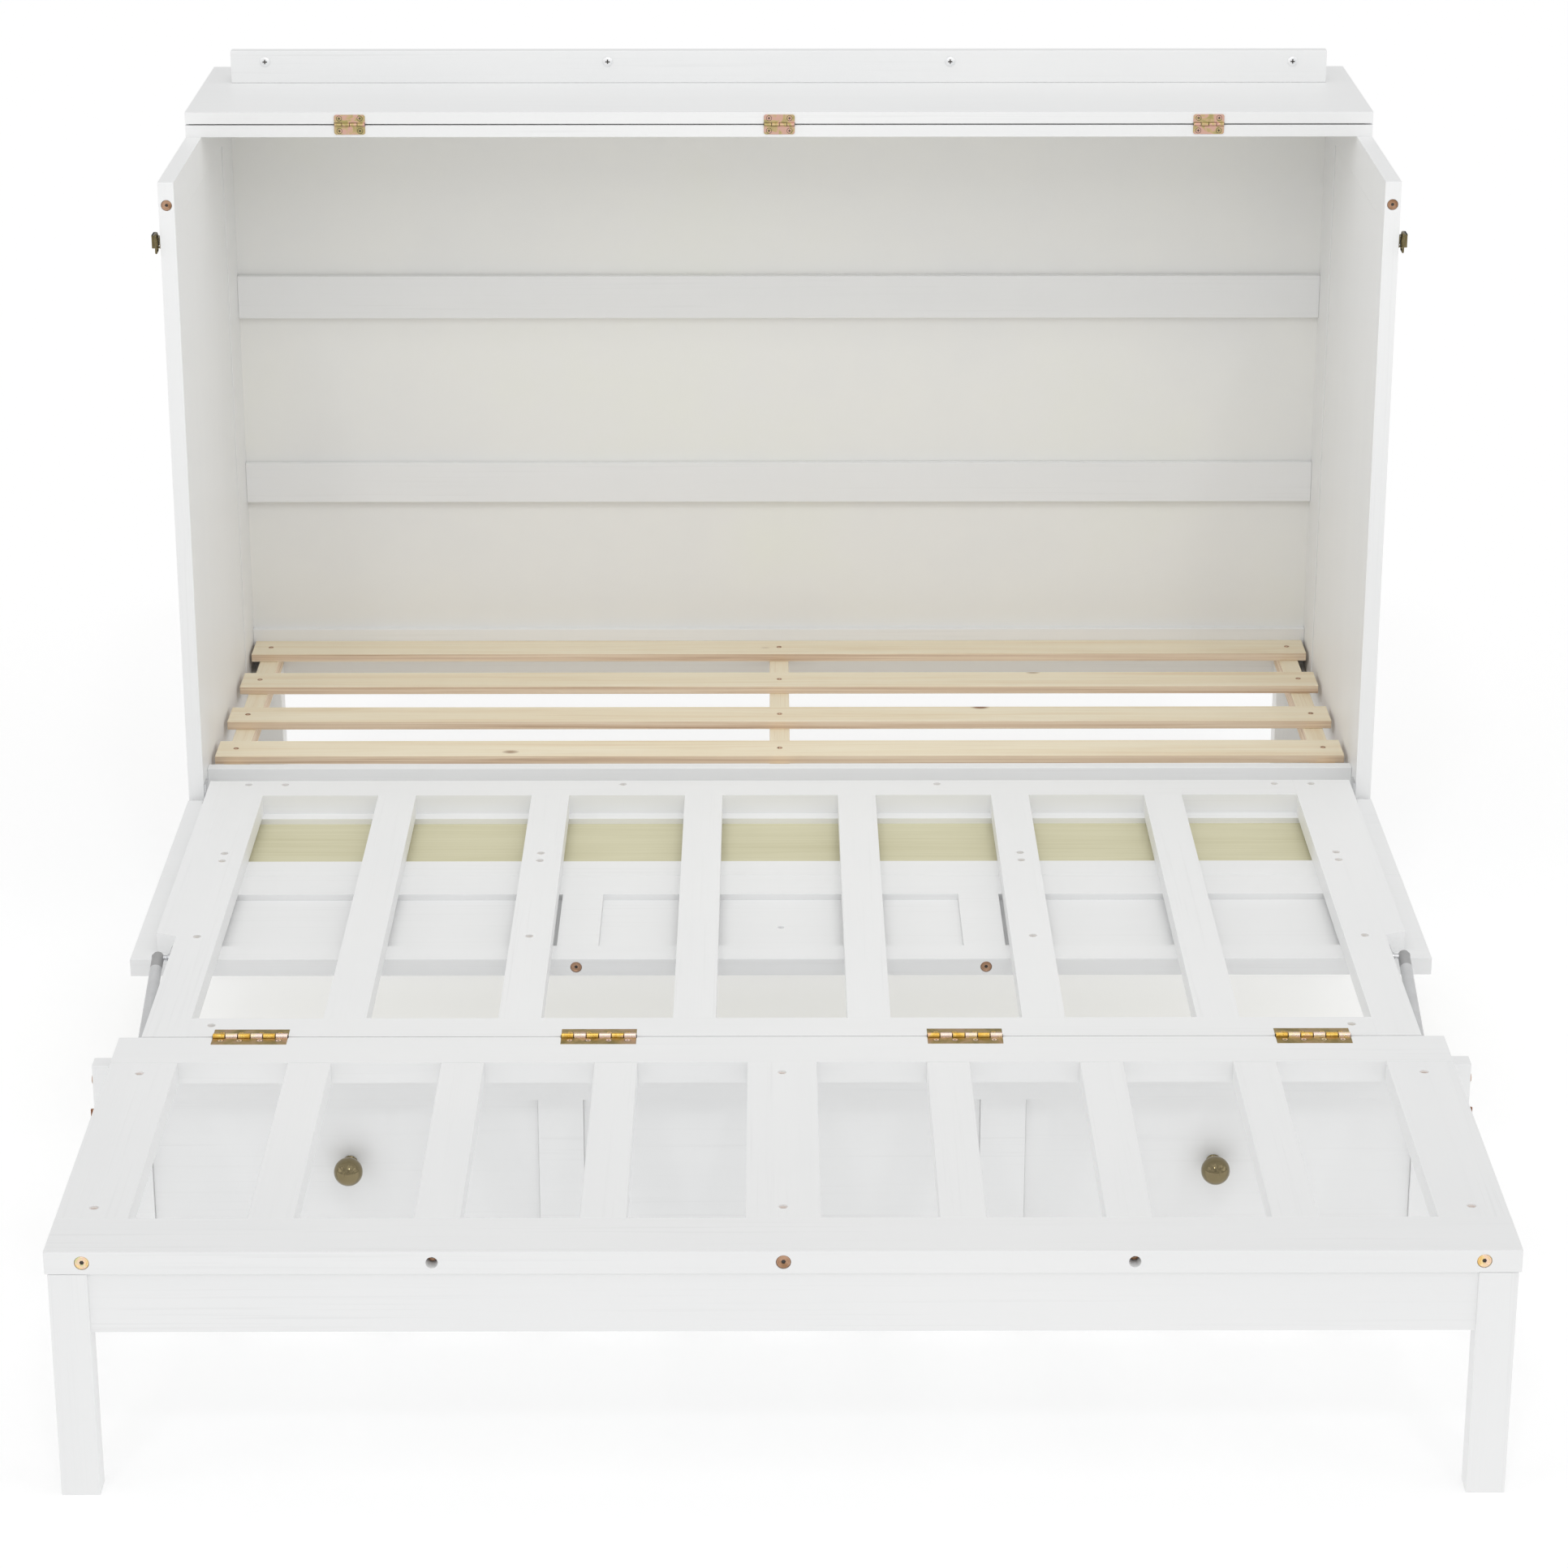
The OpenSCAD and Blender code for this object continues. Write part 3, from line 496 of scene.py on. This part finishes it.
def socket_head(radius, height, across):
    """A flat bolt head with a stepped rim; its underside is on Z = 0 and its top takes a socket_floor."""
    return lathe([(radius - 0.2, 0), (radius, 0.3), (radius, height - 0.7), (radius - 0.8, height),
                  (radius * 0.72, height), (radius * 0.66, height - 0.5), (across * 0.7, height - 0.5),
                  (hexagon(across), height - 0.9), (hexagon(across), height - 2.4)], 48)


def socket_floor(height, across):
    """The bottom of a head's hexagonal socket, drawn dark as painted shade."""
    return lathe([(hexagon(across * 0.99), height - 2.39), (hexagon(across * 0.99), height - 1.5)], 48)


def dome_head(radius, height):
    """A domed bolt head with a hexagonal socket, standing on Z = 0."""
    return lathe([(radius - 0.2, 0), (radius, 0.3), (radius * 0.94, height * 0.45),
                  (radius * 0.78, height * 0.8), (radius * 0.55, height),
                  (hexagon(4), height - 0.2), (hexagon(4), height - 1.6)], 48)


def cross_floor(radius, height):
    """The bottom of a pan head's cross recess, drawn dark as painted shade."""
    reach, half = radius * 0.42, radius * 0.115
    return lathe([(cross(reach * 0.9, half), height * 0.2), (cross(reach, half), height * 0.62)], 48)


def barrel_nut(radius, height):
    """The end of a barrel nut, with a slot for a screwdriver across it."""
    def slot(t):
        long = radius * 0.75 / max(abs(math.cos(t)), 1e-6)
        short = radius * 0.16 / max(abs(math.sin(t)), 1e-6)
        return min(long, short)
    return lathe([(radius, 0), (radius, height - 0.4), (radius - 0.4, height), (slot, height),
                  (slot, height - 1.2)], 40)


# ---- Pieces ----

def solids(node):
    """The boxes of a node's separate solids, in metres, from low to high X, then Y, then Z."""
    mesh = bmesh.new()
    mesh.from_mesh(frame["nodes"][node].data)
    bmesh.ops.remove_doubles(mesh, verts=mesh.verts, dist=1e-6)
    waiting, found = set(mesh.verts), []
    while waiting:
        group, edge = set(), [waiting.pop()]
        while edge:
            vert = edge.pop()
            group.add(vert)
            for link in vert.link_edges:
                other = link.other_vert(vert)
                if other in waiting:
                    waiting.discard(other)
                    edge.append(other)
        places = [v.co for v in group]
        found.append((Vector(map(min, *places)), Vector(map(max, *places))))
    mesh.free()
    return sorted(found, key=lambda box: tuple(round(c, 4) for c in box[0]))


def centre(box):
    return (box[0] + box[1]) / 2


def at(place, turn="", flip=False):
    """A matrix from millimetres to the scene: a place in metres, then named quarter turns."""
    turns = {
        "": STILL,
        "face_front": Matrix.Rotation(math.pi / 2, 4, "X"),
        "face_back": Matrix.Rotation(-math.pi / 2, 4, "X"),
        "face_right": Z_TO_X,
        "face_left": Matrix.Rotation(-math.pi / 2, 4, "Y"),
    }
    mirror = Matrix.Scale(-1, 4, (0, 1, 0)) if flip else STILL
    return Matrix.Translation(place) @ turns[turn] @ mirror @ TO_METRES


def piece(name, body, shapes, replaced=(), edge=0.0, sharp=32):
    """Joins (shape, matrix, material) entries into one object that rides on a body."""
    mesh = bmesh.new()
    materials = []
    for (points, faces), matrix, material in shapes:
        if material not in materials:
            materials.append(material)
        verts = [mesh.verts.new(matrix @ Vector(p)) for p in points]
        backwards = matrix.determinant() < 0
        for face in faces:
            corners = [verts[i] for i in (reversed(face) if backwards else face)]
            mesh.faces.new(corners).material_index = materials.index(material)
    bmesh.ops.remove_doubles(mesh, verts=mesh.verts, dist=2e-6)
    bmesh.ops.recalc_face_normals(mesh, faces=mesh.faces)
    for face in mesh.faces:
        face.smooth = True
    for line in mesh.edges:
        line.smooth = line.calc_face_angle(0) < math.radians(sharp)
    data = bpy.data.meshes.new(name)
    mesh.to_mesh(data)
    mesh.free()
    for material in materials:
        data.materials.append(material)
    made = bpy.data.objects.new(name, data)
    scene.collection.objects.link(made)
    if edge:
        soften(made, edge)
    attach(made, body)
    if replaced:
        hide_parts(*replaced)
    return made


def soften(made, width, segments=2):
    """Rounds the sharp edges of a piece by that many metres."""
    bevel = made.modifiers.new("soft edges", "BEVEL")
    bevel.width = width
    bevel.segments = segments
    bevel.limit_method = "ANGLE"
    bevel.angle_limit = math.radians(32)
    bevel.harden_normals = True
    return bevel


def dress(node, material, width=0.0012):
    """Gives a CAD board its finish, and softens its edges by the given radius."""
    board = frame["nodes"][node]
    for place in board.material_slots:
        place.material = material
    weld = board.modifiers.new("weld", "WELD")
    weld.merge_threshold = 1e-6
    flat = board.modifiers.new("flat faces", "DECIMATE")
    flat.decimate_type = "DISSOLVE"
    flat.angle_limit = math.radians(0.5)
    if width:
        soften(board, width, 3)


def dress_boards():
    grain = {
        "x": ["back_rails", "top_board", "front_board", "lid_board", "lid_batten", "mid_back_rail",
              "mid_front_rail", "fascia_strip", "fascia_panel", "fascia_panel_infills", "front_inner_rail",
              "front_outer_rail", "leg_apron", "drop_panel_frame", "drop_panel_infills"],
        "y": ["mid_stile_left", "mid_stile_right", "mid_bars", "front_stile_left", "front_stile_right",
              "front_centre_stile", "front_bars"],
        "z": ["side_left", "side_right", "side_infills", "corner_posts", "leg_left", "leg_right"],
    }
    for axis, nodes in grain.items():
        for node in nodes:
            dress(node, PAINT[axis])
    dress("back_panel", BACK, 0)
    dress("slats", PINE_X)
    dress("slat_rails", PINE_Y)
    dress("fascia_strip_infill", PLY, 0)


# ---- Hinges ----

def hinge_half(length, count, first, radius, leaf, thick, lift, material, screws=(), corner=2.0,
               pin=0.0, leaf_material=None, play=0.3):
    """Half a butt hinge about the X axis: its leaf runs along +Y with its far face at lift.

    Its knuckles are every second one of count, from first on, with play left at each end.
    screws are (x, y, side) with side 1 above the leaf and -1 below it."""
    pitch = length / count
    shapes = [(slab(rounded(-length / 2, radius + 0.4, length / 2, leaf, (0, 0, corner, corner)),
                    lift - thick, lift), STILL, leaf_material or material)]
    for i in range(first, count, 2):
        start = -length / 2 + i * pitch + play
        knuckle = Matrix.Translation((start, 0, 0)) @ Z_TO_X
        shapes.append((rod(radius, pitch - 2 * play), knuckle, material))
        low, high = sorted((lift - thick, lift))
        shapes.append((block((start, 0, low), (start + pitch - 2 * play, radius + 0.6, high)),
                       STILL, material))
    if pin:
        # The pin is drawn near black, as painted shade in the gaps between the knuckles.
        end = Matrix.Translation((-length / 2 - 0.3, 0, 0)) @ Z_TO_X
        shapes.append((rod(pin, length + 0.6), end, PAINTED_SHADE))
    for x, y, side in screws:
        level = lift if side > 0 else lift - thick
        turn = STILL if side > 0 else Matrix.Rotation(math.pi, 4, "X")
        shapes += screw(Matrix.Translation((x, y, level)) @ turn, 3.4, 0.18, material)
    return shapes


def hinge_pieces(name, body, node, axis, places, turn, flip, half):
    """The same hinge half at several X places along a joint's axis, as one piece."""
    shapes = []
    for x in places:
        matrix = at((x, axis[1], axis[2]), turn, flip)
        shapes += [(shape, matrix @ local, material) for shape, local, material in half]
    piece(name, body, shapes, [node], edge=0.00015)


def places_of(node):
    return [centre(box).x for box in solids(node)]


def make_lid_hinges():
    axis = JOINTS["lid_hinge"]["pos_m"]
    below = [(x, 8.6, -1) for x in (-14, 14)]
    above = [(x, 8.6, 1) for x in (-14, 14)]
    fixed = hinge_half(42, 4, 0, 2.5, 13.5, 1.2, 1.5, LID_ZINC, below, corner=3)
    moving = hinge_half(42, 4, 1, 2.5, 13.5, 1.2, -0.3, LID_ZINC, above, corner=3, pin=1.2)
    places = places_of("lid_hinge_fixed_leaves")
    hinge_pieces("lid_hinges_lower_leaves", "cabinet", "lid_hinge_fixed_leaves",
                 axis, places, "face_back", False, fixed)
    hinge_pieces("lid_hinges_upper_leaves", "lid", "lid_hinge_moving_leaves",
                 axis, places, "face_front", False, moving)


def make_fold_hinges():
    axis = JOINTS["front_fold"]["pos_m"]
    screws = [(x, 10.5, 1) for x in (-34, -12, 12, 34)]
    places = places_of("fold_hinge_rear_leaves")
    # The leaves take the darker zinc, which is painted shade.
    rear = hinge_half(88.5, 6, 0, 4, 21.9, 2.2, -0.4, GOLD_ZINC, screws, 0.5, 0, SHADED_LEAF_ZINC, 0.5)
    front = hinge_half(88.5, 6, 1, 4, 21.9, 2.2, -0.4, PALE_ZINC, screws, 0.5, 1.9, SHADED_LEAF_ZINC, 0.5)
    hinge_pieces("fold_hinges_rear_leaves", "middle_frame", "fold_hinge_rear_leaves",
                 axis, places, "", False, rear)
    hinge_pieces("fold_hinges_front_leaves", "front_frame", "fold_hinge_front_leaves",
                 axis, places, "", True, front)


def make_butt_hinges():
    """The small steel hinges that carry the drop panel and the legs."""
    above = [(x, 15, 1) for x in (-22, 0, 22)]
    below = [(x, 15, -1) for x in (-22, 0, 22)]
    kinds = {
        "drop": ("drop_fold", "middle_frame", "drop_panel",
                 "drop_hinge_frame_leaves", "drop_hinge_panel_leaves", 2.0),
        "leg": ("leg_fold", "front_frame", "leg_frame",
                "leg_hinge_frame_leaves", "leg_hinge_leaves", 1.5),
    }
    for kind, (joint, upper_body, lower_body, upper, lower, lift) in kinds.items():
        axis = JOINTS[joint]["pos_m"]
        places = places_of(upper)
        flat = hinge_half(64, 5, 0, 2.6, 23.9, 1.5, lift, STEEL, below)
        hanging = hinge_half(64, 5, 1, 2.6, 23.9, 1.5, -0.5, STEEL, above, pin=1.2)
        hinge_pieces(f"{kind}_hinges_frame_leaves", upper_body, upper,
                     axis, places, "", False, flat)
        hinge_pieces(f"{kind}_hinges_hanging_leaves", lower_body, lower,
                     axis, places, "face_back", False, hanging)


def make_fascia_hinges():
    """Short brass hinges let into the fascia at the seam between its two boards."""
    shapes = []
    for box in solids("fascia_hinges"):
        middle, low, high = centre(box), box[0], box[1]
        half = (high.x - low.x) / 2 / MM
        reach = (high.y - low.y) / 2 / MM
        matrix = at((middle.x, middle.y, low.z))
        shapes.append((slab(rounded(-half, -reach, half, reach, (2, 2, 2, 2)), 0, 1.4), matrix, SHADED_BRASS))
        for i in range(3):
            x = -half + i * 2 * half / 3
            turn = Matrix.Translation((x + 0.2, 0, 1.7)) @ Z_TO_X
            shapes.append((rod(1.7, 2 * half / 3 - 0.4), matrix @ turn, SHADED_BRASS))
        for x in (-half * 0.55, half * 0.55):
            for y in (-reach * 0.6, reach * 0.6):
                shapes.append((flat_screw(2.3, 0.2), matrix @ Matrix.Translation((x, y, 1.4)), SHADED_BRASS))
    piece("fascia_hinges_detailed", "middle_frame", shapes, ["fascia_hinges"],
          edge=0.00015)


# ---- Screws and bolts ----

def bolt(radius, height, across, matrix, finish):
    """A bolt head, with painted shade as a dark floor in its socket."""
    return [(socket_head(radius, height, across), matrix, finish),
            (socket_floor(height, across), matrix, PAINTED_SHADE)]


def make_fasteners():
    """Heads for each row of screws and bolts; a solid's size tells which kind it is."""
    shapes = []
    for box in solids("lid_batten_screws"):
        middle = centre(box)
        front = at((middle.x, box[1].y - 0.0001, middle.z), "face_front")
        shapes += [(pan_screw(), front, BRIGHT), (cross_floor(7, 2.2), front, PAINTED_SHADE)]
    piece("lid_batten_screw_heads", "lid", shapes, ["lid_batten_screws"])

    shapes = []
    for box in solids("cabinet_screws"):
        middle = centre(box)
        if box[1].z - box[0].z < 0.002:
            shapes.append((flat_screw(3.9, 0.4), at((middle.x, middle.y, box[0].z + 0.0001)), COPPER))
        else:
            shapes += bolt(6.9, 7.4, 4, at((middle.x, box[1].y, middle.z), "face_front"), COPPER)
    piece("cabinet_screw_heads", "cabinet", shapes, ["cabinet_screws"])

    shapes = []
    for box in solids("mid_bolts"):
        middle, height = centre(box), (box[1].z - box[0].z) / MM
        if box[1].x - box[0].x < 0.011:
            shapes += bolt(4.9, height, 4.6, at((middle.x, middle.y, box[0].z)), ZINC)
        else:
            shapes += bolt(6.9, 7.3, 4, at((middle.x, box[1].y, middle.z), "face_front"), COPPER)
    piece("middle_frame_bolt_heads", "middle_frame", shapes, ["mid_bolts"])

    shapes = []
    for box in solids("front_bolts"):
        middle, size = centre(box), box[1] - box[0]
        front = at((middle.x, box[1].y, middle.z), "face_front")
        if size.z > 0.0145 and size.y < 0.0105:
            if size.x < 0.011:
                upright = at((middle.x, middle.y, box[0].z))
                shapes.append((barrel_nut(4.9, size.z / MM + 3.2), upright, PLUG))
            else:
                finish = COPPER if abs(middle.x) < 0.1 else ZINC
                shapes += bolt(7.7, 7.4, 4.4, front, finish)
        else:
            shapes += bolt(4.9, 8, 4, front, COPPER)
    piece("front_frame_bolt_heads", "front_frame", shapes, ["front_bolts"])

    shapes = []
    for box in solids("drop_panel_bolts"):
        middle = centre(box)
        outward = middle.x > 0
        place = (box[0].x if outward else box[1].x, middle.y, middle.z)
        turn = "face_right" if outward else "face_left"
        shapes.append((dome_head(6.8, 2.4), at(place, turn), COPPER))
    piece("drop_panel_bolt_heads", "drop_panel", shapes, ["drop_panel_bolts"])


# ---- Knobs ----

def make_knobs():
    """Turned ball knobs: a flange, a waist and a polished ball."""
    shapes = []
    for box in solids("knobs"):
        middle = centre(box)
        ball = (box[1].x - box[0].x) / 2 / MM
        length = (box[1].y - box[0].y) / MM
        heart = length - ball
        neck = math.degrees(math.asin(5.6 / ball))
        profile = [(8.4, 0), (9.0, 0.5), (9.0, 1.6), (8.3, 2.4), (6.6, 3.0), (5.6, 4.2),
                   (5.3, 6.0), (5.6, 7.6)]
        steps = 22
        for i in range(steps + 1):
            turn = math.radians(-90 + neck + (180 - neck - 4) * i / steps)
            profile.append((ball * math.cos(turn), heart + ball * math.sin(turn)))
        # The ball's darkness is a painted reflection, in place of the dark surroundings it would mirror.
        shapes.append((lathe(profile, 64), at((middle.x, box[1].y, middle.z), "face_front"), SHADED_BRONZE))
    piece("ball_knobs", "drop_panel", shapes, ["knobs"])


# ---- Toggle latches ----

def mirrored(side):
    return Matrix.Scale(side, 4, (1, 0, 0))


def make_latches():
    """Each latch: a screwed base, a lever under a wide cover, and a wire bail; drawn for the right side."""
    base_shapes, strike_shapes = [], []
    for word, side in SIDES.items():
        lever_pos = Vector(JOINTS[f"lever_{word}"]["pos_m"])
        bail_pos = Vector(JOINTS[f"bail_{word}"]["pos_m"])
        flip = mirrored(side)

        def put(place, turn=STILL):
            shown = Vector((abs(place[0]), place[1], place[2]))
            return flip @ Matrix.Translation(shown) @ turn @ TO_METRES

        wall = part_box("side_right")[1].x
        out = Z_TO_X
        base = Vector((wall, lever_pos.y + 0.012, lever_pos.z))
        base_shapes.append((slab(rounded(-8, -15, 8, 15, (3, 3, 3, 3)), 0, 1.2), put(base, out), SHADED_BRASS))
        for dy in (6.5, 12):
            screw = base + Vector((0.0012, dy * MM, 0.0052 if dy < 10 else -0.0052))
            base_shapes.append((flat_screw(2.2, 0.3), put(screw, out), SHADED_BRASS))
        for up in (-1, 1):
            ear = arc(5, 0, 3, -90, 90, 10) + [(1.0, 3), (1.0, -3)]
            level = lever_pos.z + up * 0.0061
            spot = Vector((wall, lever_pos.y, level))
            base_shapes.append((slab(ear, -0.7, 0.7), put(spot), SHADED_BRASS))
        base_shapes.append((rod(1, 15, 0.2, 16), put(lever_pos - Vector((0, 0, 0.0075))), SHADED_BRASS))

        heel = [(-2.2, 2), (-2.2, 19), (0.5, 23.5), (4, 25), (4, 3), (2.2, 1)]
        cover = rounded(3.5, 3, 7.5, 26, (0, 2.4, 3, 0))
        lever_shapes = [
            (lathe([(2.2, -5), (2.45, -4.7), (2.45, 4.7), (2.2, 5)], 24), put(lever_pos), SHADED_BRASS),
            (slab(heel[::-1], -5, 5), put(lever_pos), SHADED_BRASS),
            (slab(cover, -8.5, 8.5), put(lever_pos), SHADED_BRASS),
        ]
        for up in (-1, 1):
            ridge = rounded(5.5, 3.4, 7.5, 25.4, (0, 1.5, 1.5, 0))
            lever_shapes.append((slab(ridge, up * 7.6 - 0.9, up * 7.6 + 0.9), put(lever_pos), SHADED_BRASS))
        piece(f"latch_{word}_lever", f"lever_{word}", lever_shapes,
              [f"latch_lever_{word}"], edge=0.0003)

        half, length, bend, thick = 12, 17, 2.2, 1.25
        path = [(0, 0, 3.4), (0, 0, half - bend)]
        path += [(0, bend * math.cos(t) - bend, half - bend + bend * math.sin(t)) for t in quarter()]
        path += [(0, bend - length - bend * math.sin(t), half - bend + bend * math.cos(t))
                 for t in quarter()]
        path = path + [(x, y, -z) for x, y, z in reversed(path)]
        bail = [(wire(path, thick), put(bail_pos), SHADED_BRASS)]
        piece(f"latch_{word}_bail", f"bail_{word}", bail, [f"latch_bail_{word}"])

        near, far = [box for box in solids("latch_strikes") if centre(box).x > 0][0]
        middle_z = (near.z + far.z) / 2
        plate = Vector((wall, (near.y + far.y) / 2, middle_z))
        span = (far.y - near.y) / 2 / MM
        outline = rounded(-7, -span, 7, span, (2, 2, 2, 2))
        strike_shapes.append((slab(outline, 0, 1.2), put(plate, out), COPPER))
        for up in (-1, 1):
            screw = plate + Vector((0.0012, -0.004, up * 0.0042))
            strike_shapes.append((flat_screw(2, 0.25), put(screw, out), COPPER))
        hook = [(0.8, 0), (5.6, 0), (7.3, -1.6), (7.5, -1.2), (7.5, 0.9), (6.4, 2.0), (0.8, 2.0)]
        root = Vector((wall, far.y - 0.002, middle_z))
        strike_shapes.append((slab(hook, -6, 6), put(root), COPPER))
    piece("latch_bases_detailed", "cabinet", base_shapes, ["latch_bases"],
          edge=0.0002)
    piece("latch_strikes_detailed", "drop_panel", strike_shapes, ["latch_strikes"],
          edge=0.0002)


def quarter(steps=5):
    return [math.radians(90 * i / steps) for i in range(steps + 1)]


# ---- Gas struts ----

def make_struts():
    """Grey tubes with a dark moulded socket at the top, and bright rods with an eye at the foot."""
    run = Vector(JOINTS["strut_slide_right"]["axis"]).normalized()
    tilt = math.atan2(run.z, run.y)
    for word in SIDES:
        top = Vector(JOINTS[f"strut_pivot_{word}"]["pos_m"])
        slope = Matrix.Rotation(tilt + math.pi / 2, 4, "X")
        down = Matrix.Translation(top) @ slope @ TO_METRES
        body = lathe([(6.6, 14), (7.3, 15), (7.45, 22), (7.45, 158), (7.0, 160), (4.3, 160.5)], 40)
        cap = lathe([(3.4, -7.2), (6.2, -5.4), (7.45, -1.5), (7.45, 20), (7.1, 21), (6.6, 21)], 40)
        rim = lathe([(7.1, 150), (7.5, 151), (7.5, 154), (7.1, 155)], 40)
        shapes = [(body, down, TUBE), (cap, down, CAP), (rim, down, TUBE),
                  (rod(5.2, 14, 1.0), down @ Matrix.Translation((-7, 0, 0)) @ Z_TO_X, CAP)]
        piece(f"strut_{word}_tube", f"tube_{word}", shapes, [f"strut_tube_{word}"])

        reach = (top - foot_of(word, top)).length / MM
        rod_shape = lathe([(3.7, 100), (3.95, 100.4), (3.95, reach - 14), (3.0, reach - 13)], 28)
        collar = lathe([(3.6, reach - 20), (5.3, reach - 19), (5.3, reach - 3), (3.4, reach + 4.4)], 32)
        eye = rod(5.3, 12, 0.8)
        shapes = [(rod_shape, down, ROD), (collar, down, CAP),
                  (eye, down @ Matrix.Translation((-6, 0, reach)) @ Z_TO_X, CAP)]
        piece(f"strut_{word}_rod", f"rod_{word}", shapes, [f"strut_rod_{word}"])


def foot_of(word, top):
    """The strut's lower pivot: the middle of the rod's eye, which is the node's lowest end."""
    low = Vector(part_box(f"strut_rod_{word}")[0])
    eye = 0.0055
    return Vector((top.x, low.y + eye, low.z + eye))


def make_strut_brackets():
    """Studs on screwed plates: one on each stile and one on the drop panel's rear face."""
    upper, lower = [], []
    out = Z_TO_X
    for side in SIDES.values():
        flip = mirrored(side)
        box = [b for b in solids("strut_brackets_upper") if centre(b).x > 0][0]
        low, high = box
        middle = centre(box)
        plate = flip @ Matrix.Translation((low.x, middle.y, (low.z + high.z) / 2)) @ out @ TO_METRES
        half_z, half_y = (high.z - low.z) / 2 / MM, (high.y - low.y) / 2 / MM
        outline = rounded(-half_z, -half_y, half_z, half_y, (3, 3, 3, 3))
        upper.append((slab(outline, 0, 2), plate, STEEL))
        stud = (high.x - low.x) / MM
        pin_z = JOINTS["strut_pivot_right"]["pos_m"][2]
        place = flip @ Matrix.Translation((low.x, middle.y, pin_z)) @ out @ TO_METRES
        profile = [(5.2, 1.8), (5.2, 5.5), (3.9, 6), (3.9, stud - 0.4), (3.5, stud)]
        upper.append((lathe(profile, 32), place, STEEL))
        for y in (-12, 12):
            upper.append((flat_screw(3, 0.3), plate @ Matrix.Translation((0, y, 2)), STEEL))

        box = [b for b in solids("strut_brackets_lower") if centre(b).x > 0][0]
        low, high = box
        middle = centre(box)
        foot = foot_of("right", Vector(JOINTS["strut_pivot_right"]["pos_m"]))
        back = Matrix.Rotation(-math.pi / 2, 4, "X")
        tab_x = low.x + 0.0065
        between = ((low.x + tab_x) / 2, low.y, middle.z)
        plate = flip @ Matrix.Translation(between) @ back @ TO_METRES
        half_x, half_z = (tab_x - low.x) / 2 / MM, (high.z - low.z) / 2 / MM
        outline = rounded(-half_x, -half_z, half_x, half_z, (2, 2, 2, 2))
        lower.append((slab(outline, 0, 2), plate, STEEL))
        cheek = arc(0, 0, 7, -90, 90, 12) + [((low.y - foot.y) / MM, 7), ((low.y - foot.y) / MM, -7)]
        upright = Matrix(((0, 0, 1, 0), (1, 0, 0, 0), (0, 1, 0, 0), (0, 0, 0, 1)))
        tab = flip @ Matrix.Translation((tab_x - 0.002, foot.y, foot.z)) @ upright @ TO_METRES
        lower.append((slab(cheek, 0, 2), tab, STEEL))
        stud = (high.x - tab_x) / MM
        pin = flip @ Matrix.Translation((tab_x, foot.y, foot.z)) @ out @ TO_METRES
        profile = [(5.0, -0.2), (5.0, 1.5), (3.9, 2), (3.9, stud - 0.3), (3.6, stud)]
        lower.append((lathe(profile, 32), pin, STEEL))
    piece("strut_studs_upper", "middle_frame", upper, ["strut_brackets_upper"], edge=0.0002)
    piece("strut_studs_lower", "drop_panel", lower, ["strut_brackets_lower"], edge=0.0002)


def dress_pivots():
    """The pivot plates stay as they are in the CAD model, with a plated finish and screws added."""
    dress("pivot_brackets", STEEL, 0.0003)
    shapes = []
    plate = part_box("pivot_brackets")
    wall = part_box("side_right")[0].x
    back = plate[1].y - 0.013
    middle = JOINTS["bed_fold"]["pos_m"][2]
    for side in SIDES.values():
        for up in (-0.021, 0.021):
            inward = mirrored(side) @ Matrix.Translation((wall - 0.003, back, middle + up))
            turn = Matrix.Rotation(-math.pi / 2, 4, "Y")
            shapes.append((flat_screw(4, 0.4), inward @ turn @ TO_METRES, STEEL))
    piece("pivot_plate_screws", "cabinet", shapes)


# ---- Everything ----

make_camera()
make_studio()
make_floor()
dress_boards()
dress_pivots()
make_lid_hinges()
make_fold_hinges()
make_butt_hinges()
make_fascia_hinges()
make_fasteners()
make_knobs()
make_latches()
make_struts()
make_strut_brackets()
